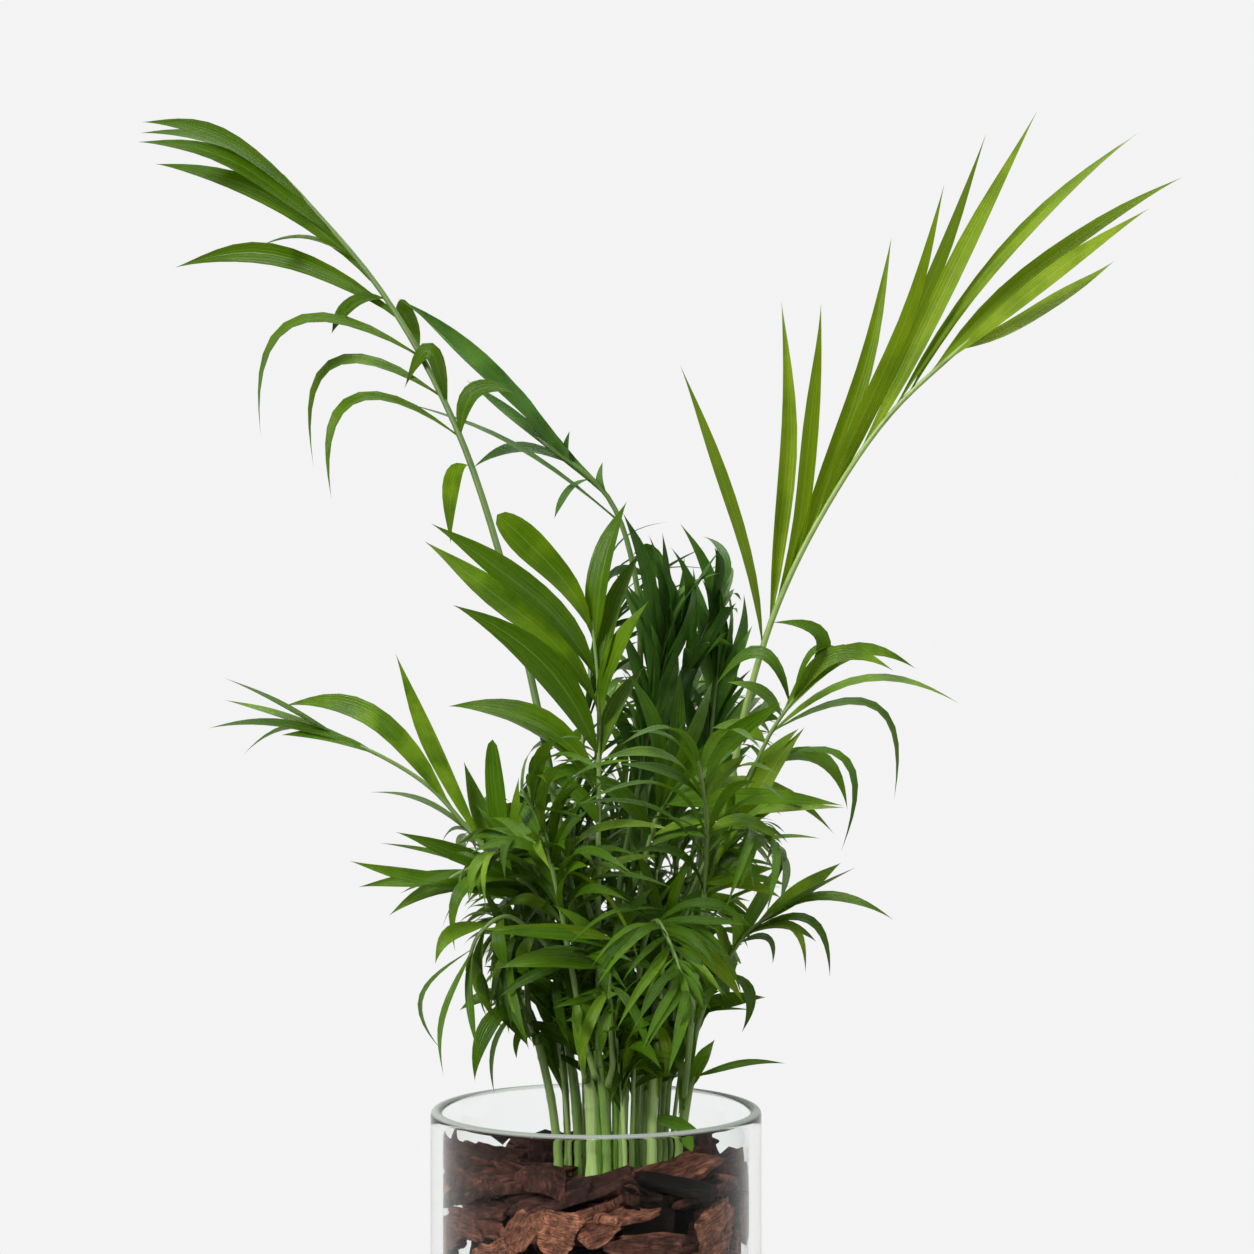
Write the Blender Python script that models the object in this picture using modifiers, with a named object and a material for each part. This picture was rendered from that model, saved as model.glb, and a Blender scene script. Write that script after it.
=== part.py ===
"""A parlour palm that grows in a clear glass cylinder vase filled with bark chips.

Tables hold millimetres and shapes are made in metres. Seen from the front, X runs to the
right, Y away from the viewer and Z up. The vase stands on Z = 0 with its axis on Z.
"""

import itertools
import math
import random

import bmesh
import bpy
from mathutils import Vector
from mathutils.bvhtree import BVHTree

MM = 0.001
WELD = 0.00001
SCRAP_CORNERS = 6
GAP = 0.3  # left between pieces that touch
CLEAR = 0.35  # kept round each frond piece

# The vase is a common size of plain cylinder.
VASE_RADIUS = 75.0
VASE_HEIGHT = 200.0
VASE_WALL = 5.2
VASE_BASE = 10.0
VASE_FOOT_ROUND = 2.5
VASE_SIDES = 40

# The bark fills the vase up to the flat bed that the stems stand on.
BED_HEIGHT = 171.7
BED_RADIUS = 42.0
BARK_RADIUS = VASE_RADIUS - VASE_WALL - 0.5
BARK_CORE_RADIUS = 67.2
BARK_SIDES = 24
BARK_SHOULDER = 160.0
CHIP = (36.0, 24.0, 8.0)
TOP_CHIPS = ((56.0, 168.0, 11), (47.0, 174.0, 6))  # ring radius, height, count
SIDE_CHIP_ROWS = (45.0, 105.0)
SIDE_CHIPS = 7

STEM_STATIONS = 7
STEM_ROOM = 5.0  # kept free of bark chips
STEM_FLARE = 1.2
STEM_TAPER = 1.12
SHEATH_RADIUS = 1.5
RIB_TIP_RADIUS = 0.75
RIB_STATIONS = 8
LEAF_THICKNESS = 0.012  # share of the leaflet's length
LEAST_THICKNESS = 0.9
POINTED = 0.8
BLUNT = 1.6
SHORT_SHARES = (0.0, 0.42)  # where a leaflet's sections stand along it, short of its point
LONG_SHARES = (0.0, 0.32, 0.7)
ARCHED_SHARES = (0.0, 0.22, 0.48, 0.75)
ROOT_SPACING = 1.7
LEAF_SINK = 0.25
LEAF_NECK = 0.55

# Places on the fronds are read in the upright plane through the vase's axis, from this eye.
EYE = Vector((14.0, -1343.0, 418.0))

# Stem: foot x and y, tip x, y and z, radius at the tip.
STEMS = {
    "stem_left": (-17, -7, -29, -10, 243, 1.8),
    "stem_left_back": (-13, 9, -19, 14, 262, 1.5),
    "stem_left_middle": (-8, -3, -17, -1, 256, 1.6),
    "stem_thick": (-1, -12, -3, -14, 221, 2.9),
    "stem_front": (5, -25, 2, -34, 226, 1.7),
    "stem_middle": (12, -9, 15, -12, 246, 1.9),
    "stem_middle_back": (5, 6, 6, 9, 252, 1.5),
    "stem_middle_right": (18, 5, 20, 7, 258, 1.7),
    "stem_front_right": (25, -14, 27, -19, 252, 2.1),
    "stem_right": (30, 1, 39, 3, 280, 2.0),
    "stem_far_right": (37, -9, 41, -13, 208, 1.6),
    "stem_back": (9, 23, 8, 33, 250, 1.7),
    "stem_back_right": (25, 18, 34, 28, 248, 1.7),
    "stem_back_left": (-7, 21, -16, 31, 240, 1.6),
}

# Measured fronds. A rib point is x, z and depth. A leaflet row is the rib's x or z where it
# leaves, its tip's x and z, its rise over a straight line as a share of its length, and the
# breadth that shows from the front, with BLUNT where its end is round.
MEASURED = (
    dict(
        name="frond_upper_right", stem="stem_right", level=1.0, read="z", width=9.5, spread=0.12,
        rib=((44, 300, 3), (57, 330, 0), (76, 412, -8), (111, 484, -14), (141, 523, -18), (170, 549, -20)),
        leaves=(
            (414, 38, 537, 0.02, 6), (423, 84, 566, 0.03, 8), (427, 102, 565, 0.03, 8),
            (443, 134, 595, 0.04, 9), (468, 158, 619, 0.03, 8), (484, 177, 642, 0.03, 8),
            (500, 200, 652, 0.02, 9), (520, 241, 639, 0.07, 6), (528, 247, 643, 0.06, 6),
            (536, 266, 622, 0.06, 8), (542, 251, 608, 0.02, 8), (548, 235, 584, -0.04, 7),
        ),
    ),
    dict(
        name="frond_upper_left", stem="stem_thick", level=1.0, read="z", width=11, spread=0.3,
        rib=(
            (-8, 265, -20), (-19, 344, -26), (-44, 452, -8), (-75, 535, 8), (-105, 580, 20),
            (-142, 623, 30),
        ),
        leaves=(
            (621, -206, 647, 0.12, 7), (617, -207, 642, 0.1, 5), (610, -208, 638, 0.1, 9),
            (596, -200, 628, 0.07, 10), (591, -154, 590, 0.12, 2.5), (578, -191, 581, 0.09, 11),
            (572, -120, 551, 0.1, 7), (570, -80, 543, 0.35, 9), (550, -152, 504, 0.42, 6),
            (532, -128, 490, 0.46, 6), (517, -120, 476, 0.44, 6), (522, -87, 526, 1.1, 8),
            (510, -37, 524, 0.3, 9), (506, -66, 456, 0.03, 8),
        ),
    ),
    dict(
        name="frond_upper_middle", stem="stem_middle_right", level=1.0, read="z", width=9, spread=0.2,
        rib=((22, 330, 12), (20, 400, 16), (17, 448, 18), (6, 476, 20), (-8, 489, 22), (-27, 504, 24)),
        leaves=(
            (503, -90, 567, 0.1, 9), (498, -86, 565, 0.04, 7), (500, -46, 537, 0.05, 7),
            (491, -59, 530, 0.02, 5.5), (486, -92, 521, 0.04, 2), (497, -56, 490, 0.15, 5),
            (486, -19, 467, 0.05, 4.5), (480, 3, 493, 0.05, 4), (492, -12, 507, 0.03, 3),
            (466, 36, 420, 0.2, 9),
        ),
    ),
    dict(
        name="frond_centre_broad", stem="stem_front", level=1.0, read="z", width=14, spread=0.22,
        rib=((1, 270, -38), (1, 325, -34), (1, 391, -28), (-2, 423, -26)),
        leaves=(
            (421, -45, 469, 0.05, 14, BLUNT), (422, 14, 475, 0.1, 11), (405, -75, 465, 0.05, 12),
            (392, -78, 457, 0.03, 12), (369, -65, 428, 0.1, 14), (355, -67, 382, 0.14, 11),
            (348, -55, 381, 0.08, 2.5), (398, 20, 452, 0.08, 8), (380, 24, 430, 0.08, 7),
            (362, 22, 400, 0.08, 7),
        ),
    ),
    dict(
        name="frond_right_arching", stem="stem_front_right", level=1.0, read="z", width=9, spread=0.35,
        rib=((40, 290, -24), (55, 322, -28), (65, 340, -30), (83, 377, -34), (95, 392, -36)),
        leaves=(
            (391, 79, 420, 0.5, 8), (386, 54, 391, 0.45, 7), (380, 59, 393, 0.1, 7),
            (390, 114, 406, 0.5, 4), (391, 135, 398, 0.3, 9), (389, 145, 399, 0.28, 8),
            (383, 165, 383, 0.18, 4.5), (373, 135, 339, 0.45, 4), (360, 111, 316, 0.5, 3.5),
            (354, 114, 335, 0.34, 7), (346, 92, 372, 0.03, 7), (368, 52, 372, 0.12, 7),
        ),
    ),
    dict(
        name="frond_right_level", stem="stem_middle", level=1.0, read="z", width=10, spread=0.2,
        rib=((18, 285, -14), (25, 325, -18), (35, 345, -22)),
        leaves=(
            (331, 113, 336, 0.03, 8), (344, 84, 383, 0.02, 10), (341, 108, 324, 0.2, 7),
            (345, 53, 394, 0.35, 7), (338, 14, 398, 0.08, 8), (343, 38, 400, 0.05, 8),
            (326, -12, 352, 0.12, 8), (320, 62, 312, 0.3, 7),
        ),
    ),
    dict(
        name="frond_left_middle", stem="stem_left", level=1.0, read="x", width=10, spread=0.3,
        rib=((-31, 272, -8), (-38, 304, -6), (-57, 325, -4), (-75, 345, -2), (-106, 364, 2), (-123, 370, 4)),
        leaves=(
            (-122, -169, 395, 0.03, 2), (-120, -169, 385, 0.02, 4), (-117, -176, 372, 0.08, 4),
            (-112, -160, 360, 0.2, 2), (-104, -143, 369, 0.06, 4), (-75, -142, 382, 0.22, 11),
            (-60, -91, 406, 0.0, 8), (-59, -103, 343, 0.1, 3), (-57, -70, 320, 0.3, 2),
            (-42, -60, 357, 0.04, 9), (-37, -47, 367, 0.04, 9, BLUNT),
        ),
    ),
    dict(
        name="frond_left_low", stem="stem_left_middle", level=1.0, read="x", width=9, spread=0.3,
        rib=((-22, 278, -10), (-27, 297, -22), (-36, 304, -34)),
        leaves=(
            (-28, -91, 325, 0.04, 9), (-29, -98, 320, 0.05, 3), (-30, -112, 312, -0.04, 8),
            (-31, -108, 300, 0.05, 9), (-33, -89, 297, 0.12, 3), (-34, -94, 287, 0.12, 9),
            (-35, -64, 271, 0.4, 6), (-35, -70, 281, 0.3, 2), (-27, -35, 350, 0.08, 8),
            (-28, -55, 338, 0.1, 7),
        ),
    ),
    dict(
        name="frond_left_drooping", stem="stem_left_middle", level=0.82, read="x", width=8, spread=0.3,
        rib=((-19, 268, -28), (-36, 285, -40), (-50, 284, -46), (-59, 262, -50)),
        leaves=(
            (-52, -73, 265, 0.3, 8), (-58, -70, 226, 0.35, 2), (-58.5, -69, 214, 0.16, 3),
            (-58, -47, 240, -0.15, 7), (-57, -54, 226, 0.06, 5), (-54, -44, 239, 0.1, 6),
            (-44, -40, 262, 0.2, 7), (-30, -28, 256, 0.2, 7),
        ),
    ),
    dict(
        name="frond_left_lowest", stem="stem_left", level=0.88, read="x", width=9, spread=0.2,
        rib=((-33, 245, -22), (-37, 252, -28)),
        leaves=(
            (-36, -55, 212, 0.16, 9), (-35, -46, 206, 0.12, 3), (-34, -31, 228, 0.1, 6),
            (-36, -62, 244, 0.12, 7),
        ),
    ),
    dict(
        name="frond_right_low", stem="stem_far_right", level=1.0, read="z", width=8, spread=0.35,
        rib=((45, 233, -16), (50, 248, -18), (59, 266, -20), (71, 282, -22), (80, 288, -24)),
        leaves=(
            (287.5, 135, 285, 0.17, 5), (287, 111, 311, 0.02, 9), (286, 118, 309, 0.02, 2),
            (285, 98, 297, 0.02, 2), (286, 106, 259, 0.4, 4), (284, 100, 275, 0.16, 4),
            (282, 95, 261, 0.42, 4), (275, 80, 265, 0.45, 4), (268, 53, 286, 0.03, 6),
            (281, 82, 310, 0.03, 8), (264, 66, 234, 0.3, 5), (261, 57, 244, 0.1, 4),
            (277, 62, 291, 0.05, 6),
        ),
    ),
    dict(
        name="frond_right_short", stem="stem_right", level=0.5, read="z", width=8, spread=0.25,
        rib=((36, 238, -2), (38, 244, -4)),
        leaves=(
            (240, 77, 250, 0.03, 7), (242, 74, 247, 0.14, 3), (243, 45, 256, 0.1, 7),
            (243, 57, 262, 0.2, 5),
        ),
    ),
    dict(
        name="frond_right_lowest", stem="stem_far_right", level=0.62, read="z", width=9, spread=0.2,
        rib=((43, 208, -22), (45, 214, -25)),
        leaves=(
            (212, 54, 231, 0.12, 7), (213, 86, 220, 0.06, 3), (210, 30, 200, 0.3, 9),
            (209, 48, 190, 0.12, 8),
        ),
    ),
    dict(
        name="frond_centre_dark", stem="stem_middle_back", level=1.0, read="z", width=9, spread=0.25,
        rib=((12, 310, 4), (22, 360, 2), (30, 410, 0)),
        leaves=(
            (408, 12, 470, 0.05, 9), (409, 30, 461, 0.04, 5), (400, 57, 454, 0.3, 2),
            (404, 60, 449, 0.22, 2), (392, 8, 444, 0.05, 7), (385, 40, 450, 0.06, 8),
            (370, 10, 420, 0.06, 8), (365, 36, 415, 0.08, 8), (350, 0, 392, 0.06, 7),
            (345, 34, 380, 0.1, 8),
        ),
    ),
    dict(
        name="frond_centre_right", stem="stem_back_right", level=1.0, read="z", width=9, spread=0.25,
        rib=((42, 305, 26), (50, 352, 22), (55, 398, 20)),
        leaves=(
            (396, 38, 465, 0.12, 9), (388, 39, 449, 0.05, 7), (397, 56, 454, 0.02, 3),
            (392, 67, 433, 0.1, 7), (380, 71, 419, 0.04, 7), (375, 44, 430, 0.05, 8),
            (360, 76, 392, 0.06, 7), (352, 30, 402, 0.05, 8), (340, 72, 365, 0.1, 7),
        ),
    ),
    dict(
        name="frond_right_behind", stem="stem_back_right", level=0.8, read="z", width=9, spread=0.2,
        rib=((44, 280, 40), (54, 304, 46), (60, 320, 50)),
        leaves=(
            (319, 95, 373, 0.03, 8), (312, 79, 322, 0.05, 8), (316, 102, 322, 0.08, 4),
            (305, 74, 350, 0.04, 7), (300, 88, 300, 0.12, 7), (295, 40, 330, 0.1, 7),
        ),
    ),
    dict(
        name="frond_front_left", stem="stem_front", level=0.85, read="z", width=10, spread=0.25,
        rib=((6, 262, -48), (8, 276, -56)),
        leaves=(
            (274, -51, 279, 0.05, 8), (268, -39, 263, 0.12, 9), (272, 5, 249, 0.7, 8),
            (270, 26, 300, 0.12, 8), (266, -20, 292, 0.1, 8), (262, 28, 262, 0.2, 7),
        ),
    ),
    dict(
        name="frond_front_right", stem="stem_front_right", level=0.78, read="z", width=9, spread=0.25,
        rib=((30, 262, -34), (31, 290, -42)),
        leaves=(
            (287, 66, 250, 0.2, 6), (289, 6, 286, 0.1, 8), (286, -20, 302, 0.1, 4),
            (288, 62, 300, 0.15, 8), (280, 58, 282, 0.12, 7), (283, 16, 320, 0.08, 8),
            (276, 48, 322, 0.1, 8),
        ),
    ),
)

# Fronds that the front view hides or foreshortens, in tiers: name, count, middle bearing and
# sweep in degrees, tip height, reach, rise of the arch, leaflet pairs and leaflet length.
TIERS = (
    ("frond_back_crown", 3, 95.0, 112.0, 436.0, 66.0, 16.0, 6, 70.0),
    ("frond_back_high", 4, 88.0, 72.0, 388.0, 128.0, 30.0, 6, 72.0),
    ("frond_front_high", 3, -85.0, 51.0, 372.0, 122.0, 30.0, 6, 68.0),
    ("frond_back_middle", 3, 94.0, 72.0, 318.0, 146.0, 44.0, 6, 66.0),
    ("frond_front_middle", 2, -88.0, 60.0, 308.0, 138.0, 44.0, 6, 62.0),
    ("frond_back_skirt", 2, 88.0, 68.0, 250.0, 126.0, 46.0, 5, 56.0),
    ("frond_front_skirt", 2, -104.0, 60.0, 250.0, 120.0, 46.0, 5, 52.0),
)
CLUMP = (8.0, 2.0)
CROWN_CENTRE = (10.0, 338.0)
CROWN_HALF = (88.0, 134.0)
TIER_LEVELS = (0.93, 0.74, 0.58, 0.42)
LEVEL_DROPS = (0.0, 0.05, 0.1, 0.16, 0.22)
MEASURED_WAYS = [(shift,) for shift in (0, 4, -4, 8, -8, 13, -13, 18, -18, 24, -24)]
TIER_WAYS = list(itertools.product((0, 5, -5, 10, -10, 16, -16, 23, -23, 32, -32), (0, 6, -6, 12, -12)))


def vector(point):
    return Vector(point) * MM


def seen(x, z, depth):
    """The place this deep behind the axis plane that is seen at x and z of that plane."""
    in_plane = Vector((x, 0.0, z))
    return EYE + (in_plane - EYE) * ((depth - EYE.y) / -EYE.y)


def as_seen(place):
    """Where a place appears in the axis plane."""
    return EYE + (place - EYE) * (-EYE.y / (place.y - EYE.y))


def material(name, colour, roughness, transmission=0.0):
    made = bpy.data.materials.new(name)
    made.use_nodes = True
    made.diffuse_color = (*colour, 1.0)
    shader = made.node_tree.nodes["Principled BSDF"]
    shader.inputs["Base Color"].default_value = (*colour, 1.0)
    shader.inputs["Roughness"].default_value = roughness
    shader.inputs["Metallic"].default_value = 0.0
    shader.inputs["Transmission Weight"].default_value = transmission
    return made


def mesh_object(name, points, faces, collection):
    """A mesh object from places in millimetres, with its faces turned outwards."""
    mesh = bpy.data.meshes.new(name)
    mesh.from_pydata([point * MM for point in points], [], faces)
    shape = bmesh.new()
    shape.from_mesh(mesh)
    bmesh.ops.recalc_face_normals(shape, faces=shape.faces)
    shape.to_mesh(mesh)
    shape.free()
    made = bpy.data.objects.new(name, mesh)
    collection.objects.link(made)
    return made


def drop_scraps(shape):
    """Deletes the loose crumbs that a Boolean can leave, which have only a few faces."""
    waiting = set(shape.verts)
    while waiting:
        island = set()
        front = [waiting.pop()]
        while front:
            vertex = front.pop()
            island.add(vertex)
            for edge in vertex.link_edges:
                other = edge.other_vert(vertex)
                if other in waiting:
                    waiting.remove(other)
                    front.append(other)
        if len(island) < SCRAP_CORNERS:
            bmesh.ops.delete(shape, geom=list(island), context="VERTS")


def remove(made):
    data = made.data
    bpy.data.objects.remove(made)
    if isinstance(data, bpy.types.Mesh):
        bpy.data.meshes.remove(data)
    else:
        bpy.data.curves.remove(data)


def as_mesh(made, weld=WELD):
    """The object with its modifiers or bevel worked out, as a mesh welded shut."""
    graph = bpy.context.evaluated_depsgraph_get()
    mesh = bpy.data.meshes.new_from_object(made.evaluated_get(graph))
    shape = bmesh.new()
    shape.from_mesh(mesh)
    bmesh.ops.remove_doubles(shape, verts=shape.verts, dist=weld)
    drop_scraps(shape)
    bmesh.ops.recalc_face_normals(shape, faces=shape.faces)
    shape.to_mesh(mesh)
    shape.free()
    name = made.name
    collection = made.users_collection[0]
    place = made.matrix_world.copy()
    remove(made)
    done = bpy.data.objects.new(name, mesh)
    done.matrix_world = place
    collection.objects.link(done)
    return done


def tube(name, route, radii, rings, collection):
    """A tapering limb: a curve with a round bevel, one radius a point and filled caps."""
    curve = bpy.data.curves.new(name, "CURVE")
    curve.dimensions = "3D"
    curve.bevel_depth = MM
    curve.bevel_resolution = rings
    curve.use_fill_caps = True
    spline = curve.splines.new("POLY")
    spline.points.add(len(route) - 1)
    for point, place, radius in zip(spline.points, route, radii):
        point.co = (*(place * MM), 1.0)
        point.radius = radius
    made = bpy.data.objects.new(name, curve)
    collection.objects.link(made)
    return as_mesh(made)


def combine(target, operation, others):
    """One Boolean with a whole collection, applied, with that collection's objects removed."""
    group = bpy.data.collections.new("operands")
    for other in others:
        group.objects.link(other)
    step = target.modifiers.new("combine", "BOOLEAN")
    step.operation = operation
    step.operand_type = "COLLECTION"
    step.collection = group
    step.solver = "MANIFOLD"
    done = as_mesh(target, 0.0)
    for other in list(group.objects):
        remove(other)
    bpy.data.collections.remove(group)
    return done


def finish(made, surface, angle):
    made.data.materials.clear()
    made.data.materials.append(surface)
    made.data.shade_smooth()
    made.data.set_sharp_from_angle(angle=math.radians(angle))


def through(points, steps):
    """Places along a smooth curve through the points, closer where the points are."""
    ends = [points[0] * 2 - points[1]] + list(points) + [points[-1] * 2 - points[-2]]
    places = []
    for before, start, end, after in zip(ends, ends[1:], ends[2:], ends[3:]):
        for step in range(steps):
            t = step / steps
            places.append(
                0.5
                * (
                    2 * start
                    + (end - before) * t
                    + (2 * before - 5 * start + 4 * end - after) * t**2
                    + (3 * start - before - 3 * end + after) * t**3
                )
            )
    return places + [points[-1]]


def evenly(places, count):
    """The given number of places, evenly spaced along a route."""
    lengths = [0.0]
    for start, end in zip(places, places[1:]):
        lengths.append(lengths[-1] + (end - start).length)
    spaced = []
    index = 0
    for step in range(count):
        wanted = lengths[-1] * step / (count - 1)
        while index < len(places) - 2 and lengths[index + 1] < wanted:
            index += 1
        span = lengths[index + 1] - lengths[index]
        spaced.append(places[index].lerp(places[index + 1], (wanted - lengths[index]) / span))
    return spaced


def stem_route(stem):
    """The places along a stem: straight up from its flat cut, then leaning to its tip."""
    foot_x, foot_y, tip_x, tip_y, tip_z, _ = stem
    foot_z = BED_HEIGHT + GAP
    foot = Vector((foot_x, foot_y, foot_z))
    rise = Vector((foot_x, foot_y, foot_z + 7))
    lean = Vector((tip_x, tip_y, tip_z)) - rise
    third = rise + Vector((lean.x * 0.22, lean.y * 0.22, lean.z * 0.36))
    two_thirds = rise + Vector((lean.x * 0.6, lean.y * 0.6, lean.z * 0.7))
    return [foot] + evenly(through([rise, third, two_thirds, rise + lean], 5), STEM_STATIONS - 1)


def stem_radii(stem):
    """Thick at the flared foot, narrowing towards the tip."""
    tip_radius = stem[5]
    last = STEM_STATIONS - 1
    radii = [tip_radius * (STEM_TAPER + (1 - STEM_TAPER) * step / last) for step in range(last + 1)]
    radii[0] = tip_radius * STEM_TAPER * STEM_FLARE
    return radii


def joint_on(stem, level, towards):
    """Where a frond's stalk starts: over the stem's tip, or beside the stem at a level below it."""
    route = stem_route(stem)
    if level >= 1.0:
        along = (route[-1] - route[-2]).normalized()
        return route[-1] + along * GAP, along
    position = level * (len(route) - 1)
    index = int(position)
    place = route[index].lerp(route[index + 1], position - index)
    along = (route[index + 1] - route[index]).normalized()
    aside = towards - place
    aside = (aside - along * aside.dot(along)).normalized()
    radius = stem_radii(stem)[index]
    start = place + aside * (radius + SHEATH_RADIUS + GAP + 0.15)
    return start, (along + aside * 0.32).normalized()


def rib_radii(count):
    return [
        RIB_TIP_RADIUS + (SHEATH_RADIUS - RIB_TIP_RADIUS) * (1 - step / (count - 1)) ** 0.8
        for step in range(count)
    ]


def tube_shell(route, radii, extra):
    """The corners and faces of a six-sided tube that encloses a round one."""
    corners = []
    for index, place in enumerate(route):
        along = (route[min(index + 1, len(route) - 1)] - route[max(index - 1, 0)]).normalized()
        aside = along.orthogonal().normalized()
        over = along.cross(aside)
        reach = (radii[index] + extra) / math.cos(math.pi / 6)
        for side in range(6):
            angle = math.pi * side / 3
            corners.append(place + (aside * math.cos(angle) + over * math.sin(angle)) * reach)
    faces = []
    for ring in range(len(route) - 1):
        for side in range(6):
            first, second = ring * 6 + side, ring * 6 + (side + 1) % 6
            faces.append((first, second, second + 6, first + 6))
    return corners, faces


def blade_shell(leaf, extra):
    """The corners and faces of one leaflet, flat above with a keel below, along an arched line.

    The blade's face turns from the front that the leaflet is given, at 0, to its top, at a quarter turn.
    """
    root, tip, up, rise, turn, width, swell, front = leaf
    chord = tip - root
    length = chord.length
    control = root + chord * 0.5 + up * rise * 2 * length
    thickness = max(LEAST_THICKNESS, LEAF_THICKNESS * length)
    shares = ARCHED_SHARES if abs(rise) > 0.24 else LONG_SHARES if length > 45 else SHORT_SHARES
    corners = []
    for share in shares:
        place = root * (1 - share) ** 2 + control * 2 * share * (1 - share) + tip * share**2
        along = ((control - root) * (1 - share) + (tip - control) * share).normalized()
        beside = (front - along * front.dot(along)).normalized()
        over = beside.cross(along)
        if over.dot(up) < 0:
            over = -over
        facing = beside * math.cos(turn) + over * math.sin(turn)
        aside = over * math.cos(turn) - beside * math.sin(turn)
        half = max(LEAF_NECK * (1 - share), 0.5 * width * math.sin(math.pi * share**swell) ** 0.8)
        corners += [
            place + aside * (half + extra) + facing * extra,
            place - aside * (half + extra) + facing * extra,
            place - facing * ((LEAF_NECK if share == 0.0 else thickness) + extra),
        ]
    corners.append(tip + along * extra)
    last = len(corners) - 1
    faces = [(0, 1, 2)]
    for ring in range(0, last - 3, 3):
        for side in range(3):
            first, second = ring + side, ring + (side + 1) % 3
            faces.append((first, second, second + 3, first + 3))
    faces += [(last - 3 + side, last - 3 + (side + 1) % 3, last) for side in range(3)]
    return corners, faces


class Room:
    """What has been placed, and whether a new shell would touch what belongs to something else."""

    def __init__(self):
        self.shells = []

    @staticmethod
    def bounds(corners):
        low = [min(corner[axis] for corner in corners) for axis in range(3)]
        high = [max(corner[axis] for corner in corners) for axis in range(3)]
        return low, high

    def add(self, owner, corners, faces):
        tree = BVHTree.FromPolygons(corners, faces)
        self.shells.append((owner, *self.bounds(corners), tree))

    def add_object(self, made):
        corners = [(made.matrix_world @ vertex.co) / MM for vertex in made.data.vertices]
        faces = [tuple(face.vertices) for face in made.data.polygons]
        self.add(made.name, corners, faces)

    def tree_of(self, owner):
        return next(tree for name, _, _, tree in self.shells if name == owner)

    def is_free(self, owner, corners, faces):
        low, high = self.bounds(corners)
        tree = None
        for other, other_low, other_high, other_tree in self.shells:
            if other == owner:
                continue
            if any(low[axis] > other_high[axis] or high[axis] < other_low[axis] for axis in range(3)):
                continue
            tree = tree or BVHTree.FromPolygons(corners, faces)
            if tree.overlap(other_tree):
                return False
        return True


def upward(chord, root):
    """Square to a leaflet's chord, pointing up, and outwards where the leaflet hangs."""
    outward = Vector((root.x - CLUMP[0], root.y - CLUMP[1], 0.0))
    outward = outward.normalized() if outward.length > 1 else Vector((0.0, -1.0, 0.0))
    lift = Vector((0.0, 0.0, 1.0)) + outward * 0.5
    along = chord.normalized()
    return (lift - along * lift.dot(along)).normalized()


def nudge(choice):
    """A small step inside the rib, so that no two leaflets start at one point."""
    return Vector([choice.uniform(-0.18, 0.18) for _ in range(3)])


def sunk(root, tip):
    """A leaflet's start, set back through the middle of the rib."""
    return root - (tip - root).normalized() * LEAF_SINK


def measured_rib(frond, shift):
    """The rib of a measured frond, bowed away from the viewer by a shift where it has to pass others."""
    points = []
    for index, (x, z, depth) in enumerate(frond["rib"]):
        bow = shift * math.sin(math.pi * (index + 1) / (len(frond["rib"]) + 1))
        points.append(seen(x, z, depth + bow))
    start, along = joint_on(STEMS[frond["stem"]], frond["level"], points[0])
    return [start] + evenly(through([start + along * 7] + points, 6), RIB_STATIONS - 1)


def measured_leaves(frond, rib):
    """The leaflets of a measured frond, each with the depths that its tip may take."""
    fine = evenly(rib, 120)
    leafy = fine[int(len(fine) * 0.3):] if frond["level"] >= 1.0 else fine[40:]
    choice = random.Random(frond["name"])
    free = leafy
    for index, row in enumerate(frond["leaves"]):
        at, tip_x, tip_z, rise, shown = row[:5]
        swell = row[5] if len(row) > 5 else POINTED
        axis = 0 if frond["read"] == "x" else 2
        spot = min(free, key=lambda place: abs(as_seen(place)[axis] - at))
        free = [place for place in free if (place - spot).length > ROOT_SPACING]
        root = spot + nudge(choice)
        flat_length = math.hypot(tip_x - as_seen(root).x, tip_z - as_seen(root).z)
        side = 1 if index % 2 else -1
        away = side * frond["spread"] * flat_length * choice.uniform(0.6, 1.1)
        width = max(frond["width"], shown)
        turn = math.acos(min(1.0, shown / width))
        tries = []
        for push in (0, 5, -5, 10, -10, 16, -16, 23, -23):
            tip = seen(tip_x, tip_z, root.y + away + push)
            up = upward(tip - root, root)
            tries.append((sunk(root, tip), tip, up, rise, turn, width, swell, EYE - root))
        yield tries


def tier_rib(frond, turn, bow):
    """The rib of a frond in a tier: up from its stem, over an arch and out to its reach.

    Its bearing turns, and its middle bows aside, where it has to pass others.
    """
    bearing = math.radians(frond["bearing"] + turn)
    outward = Vector((math.cos(bearing), math.sin(bearing), 0.0))
    aside = Vector((-outward.y, outward.x, 0.0))
    centre = Vector((*CLUMP, frond["height"]))
    reach = frond["reach"]
    while not in_crown(centre + outward * reach):
        reach *= 0.95
    tip = centre + outward * reach
    start, along = joint_on(STEMS[frond["stem"]], frond["level"], tip)
    lead = start + along * 9
    middle = lead.lerp(tip, 0.5) + Vector((0.0, 0.0, frond["arch"])) - outward * reach * 0.12 + aside * bow
    return [start] + evenly(through([lead, middle, tip], 8), RIB_STATIONS - 1)


def in_crown(place):
    """Whether a place is seen inside the rounded outline of the inner crown."""
    spot = as_seen(place)
    across = (spot.x - CROWN_CENTRE[0]) / CROWN_HALF[0]
    up = (spot.z - CROWN_CENTRE[1]) / CROWN_HALF[1]
    return across**2 + up**2 < 1


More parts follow.
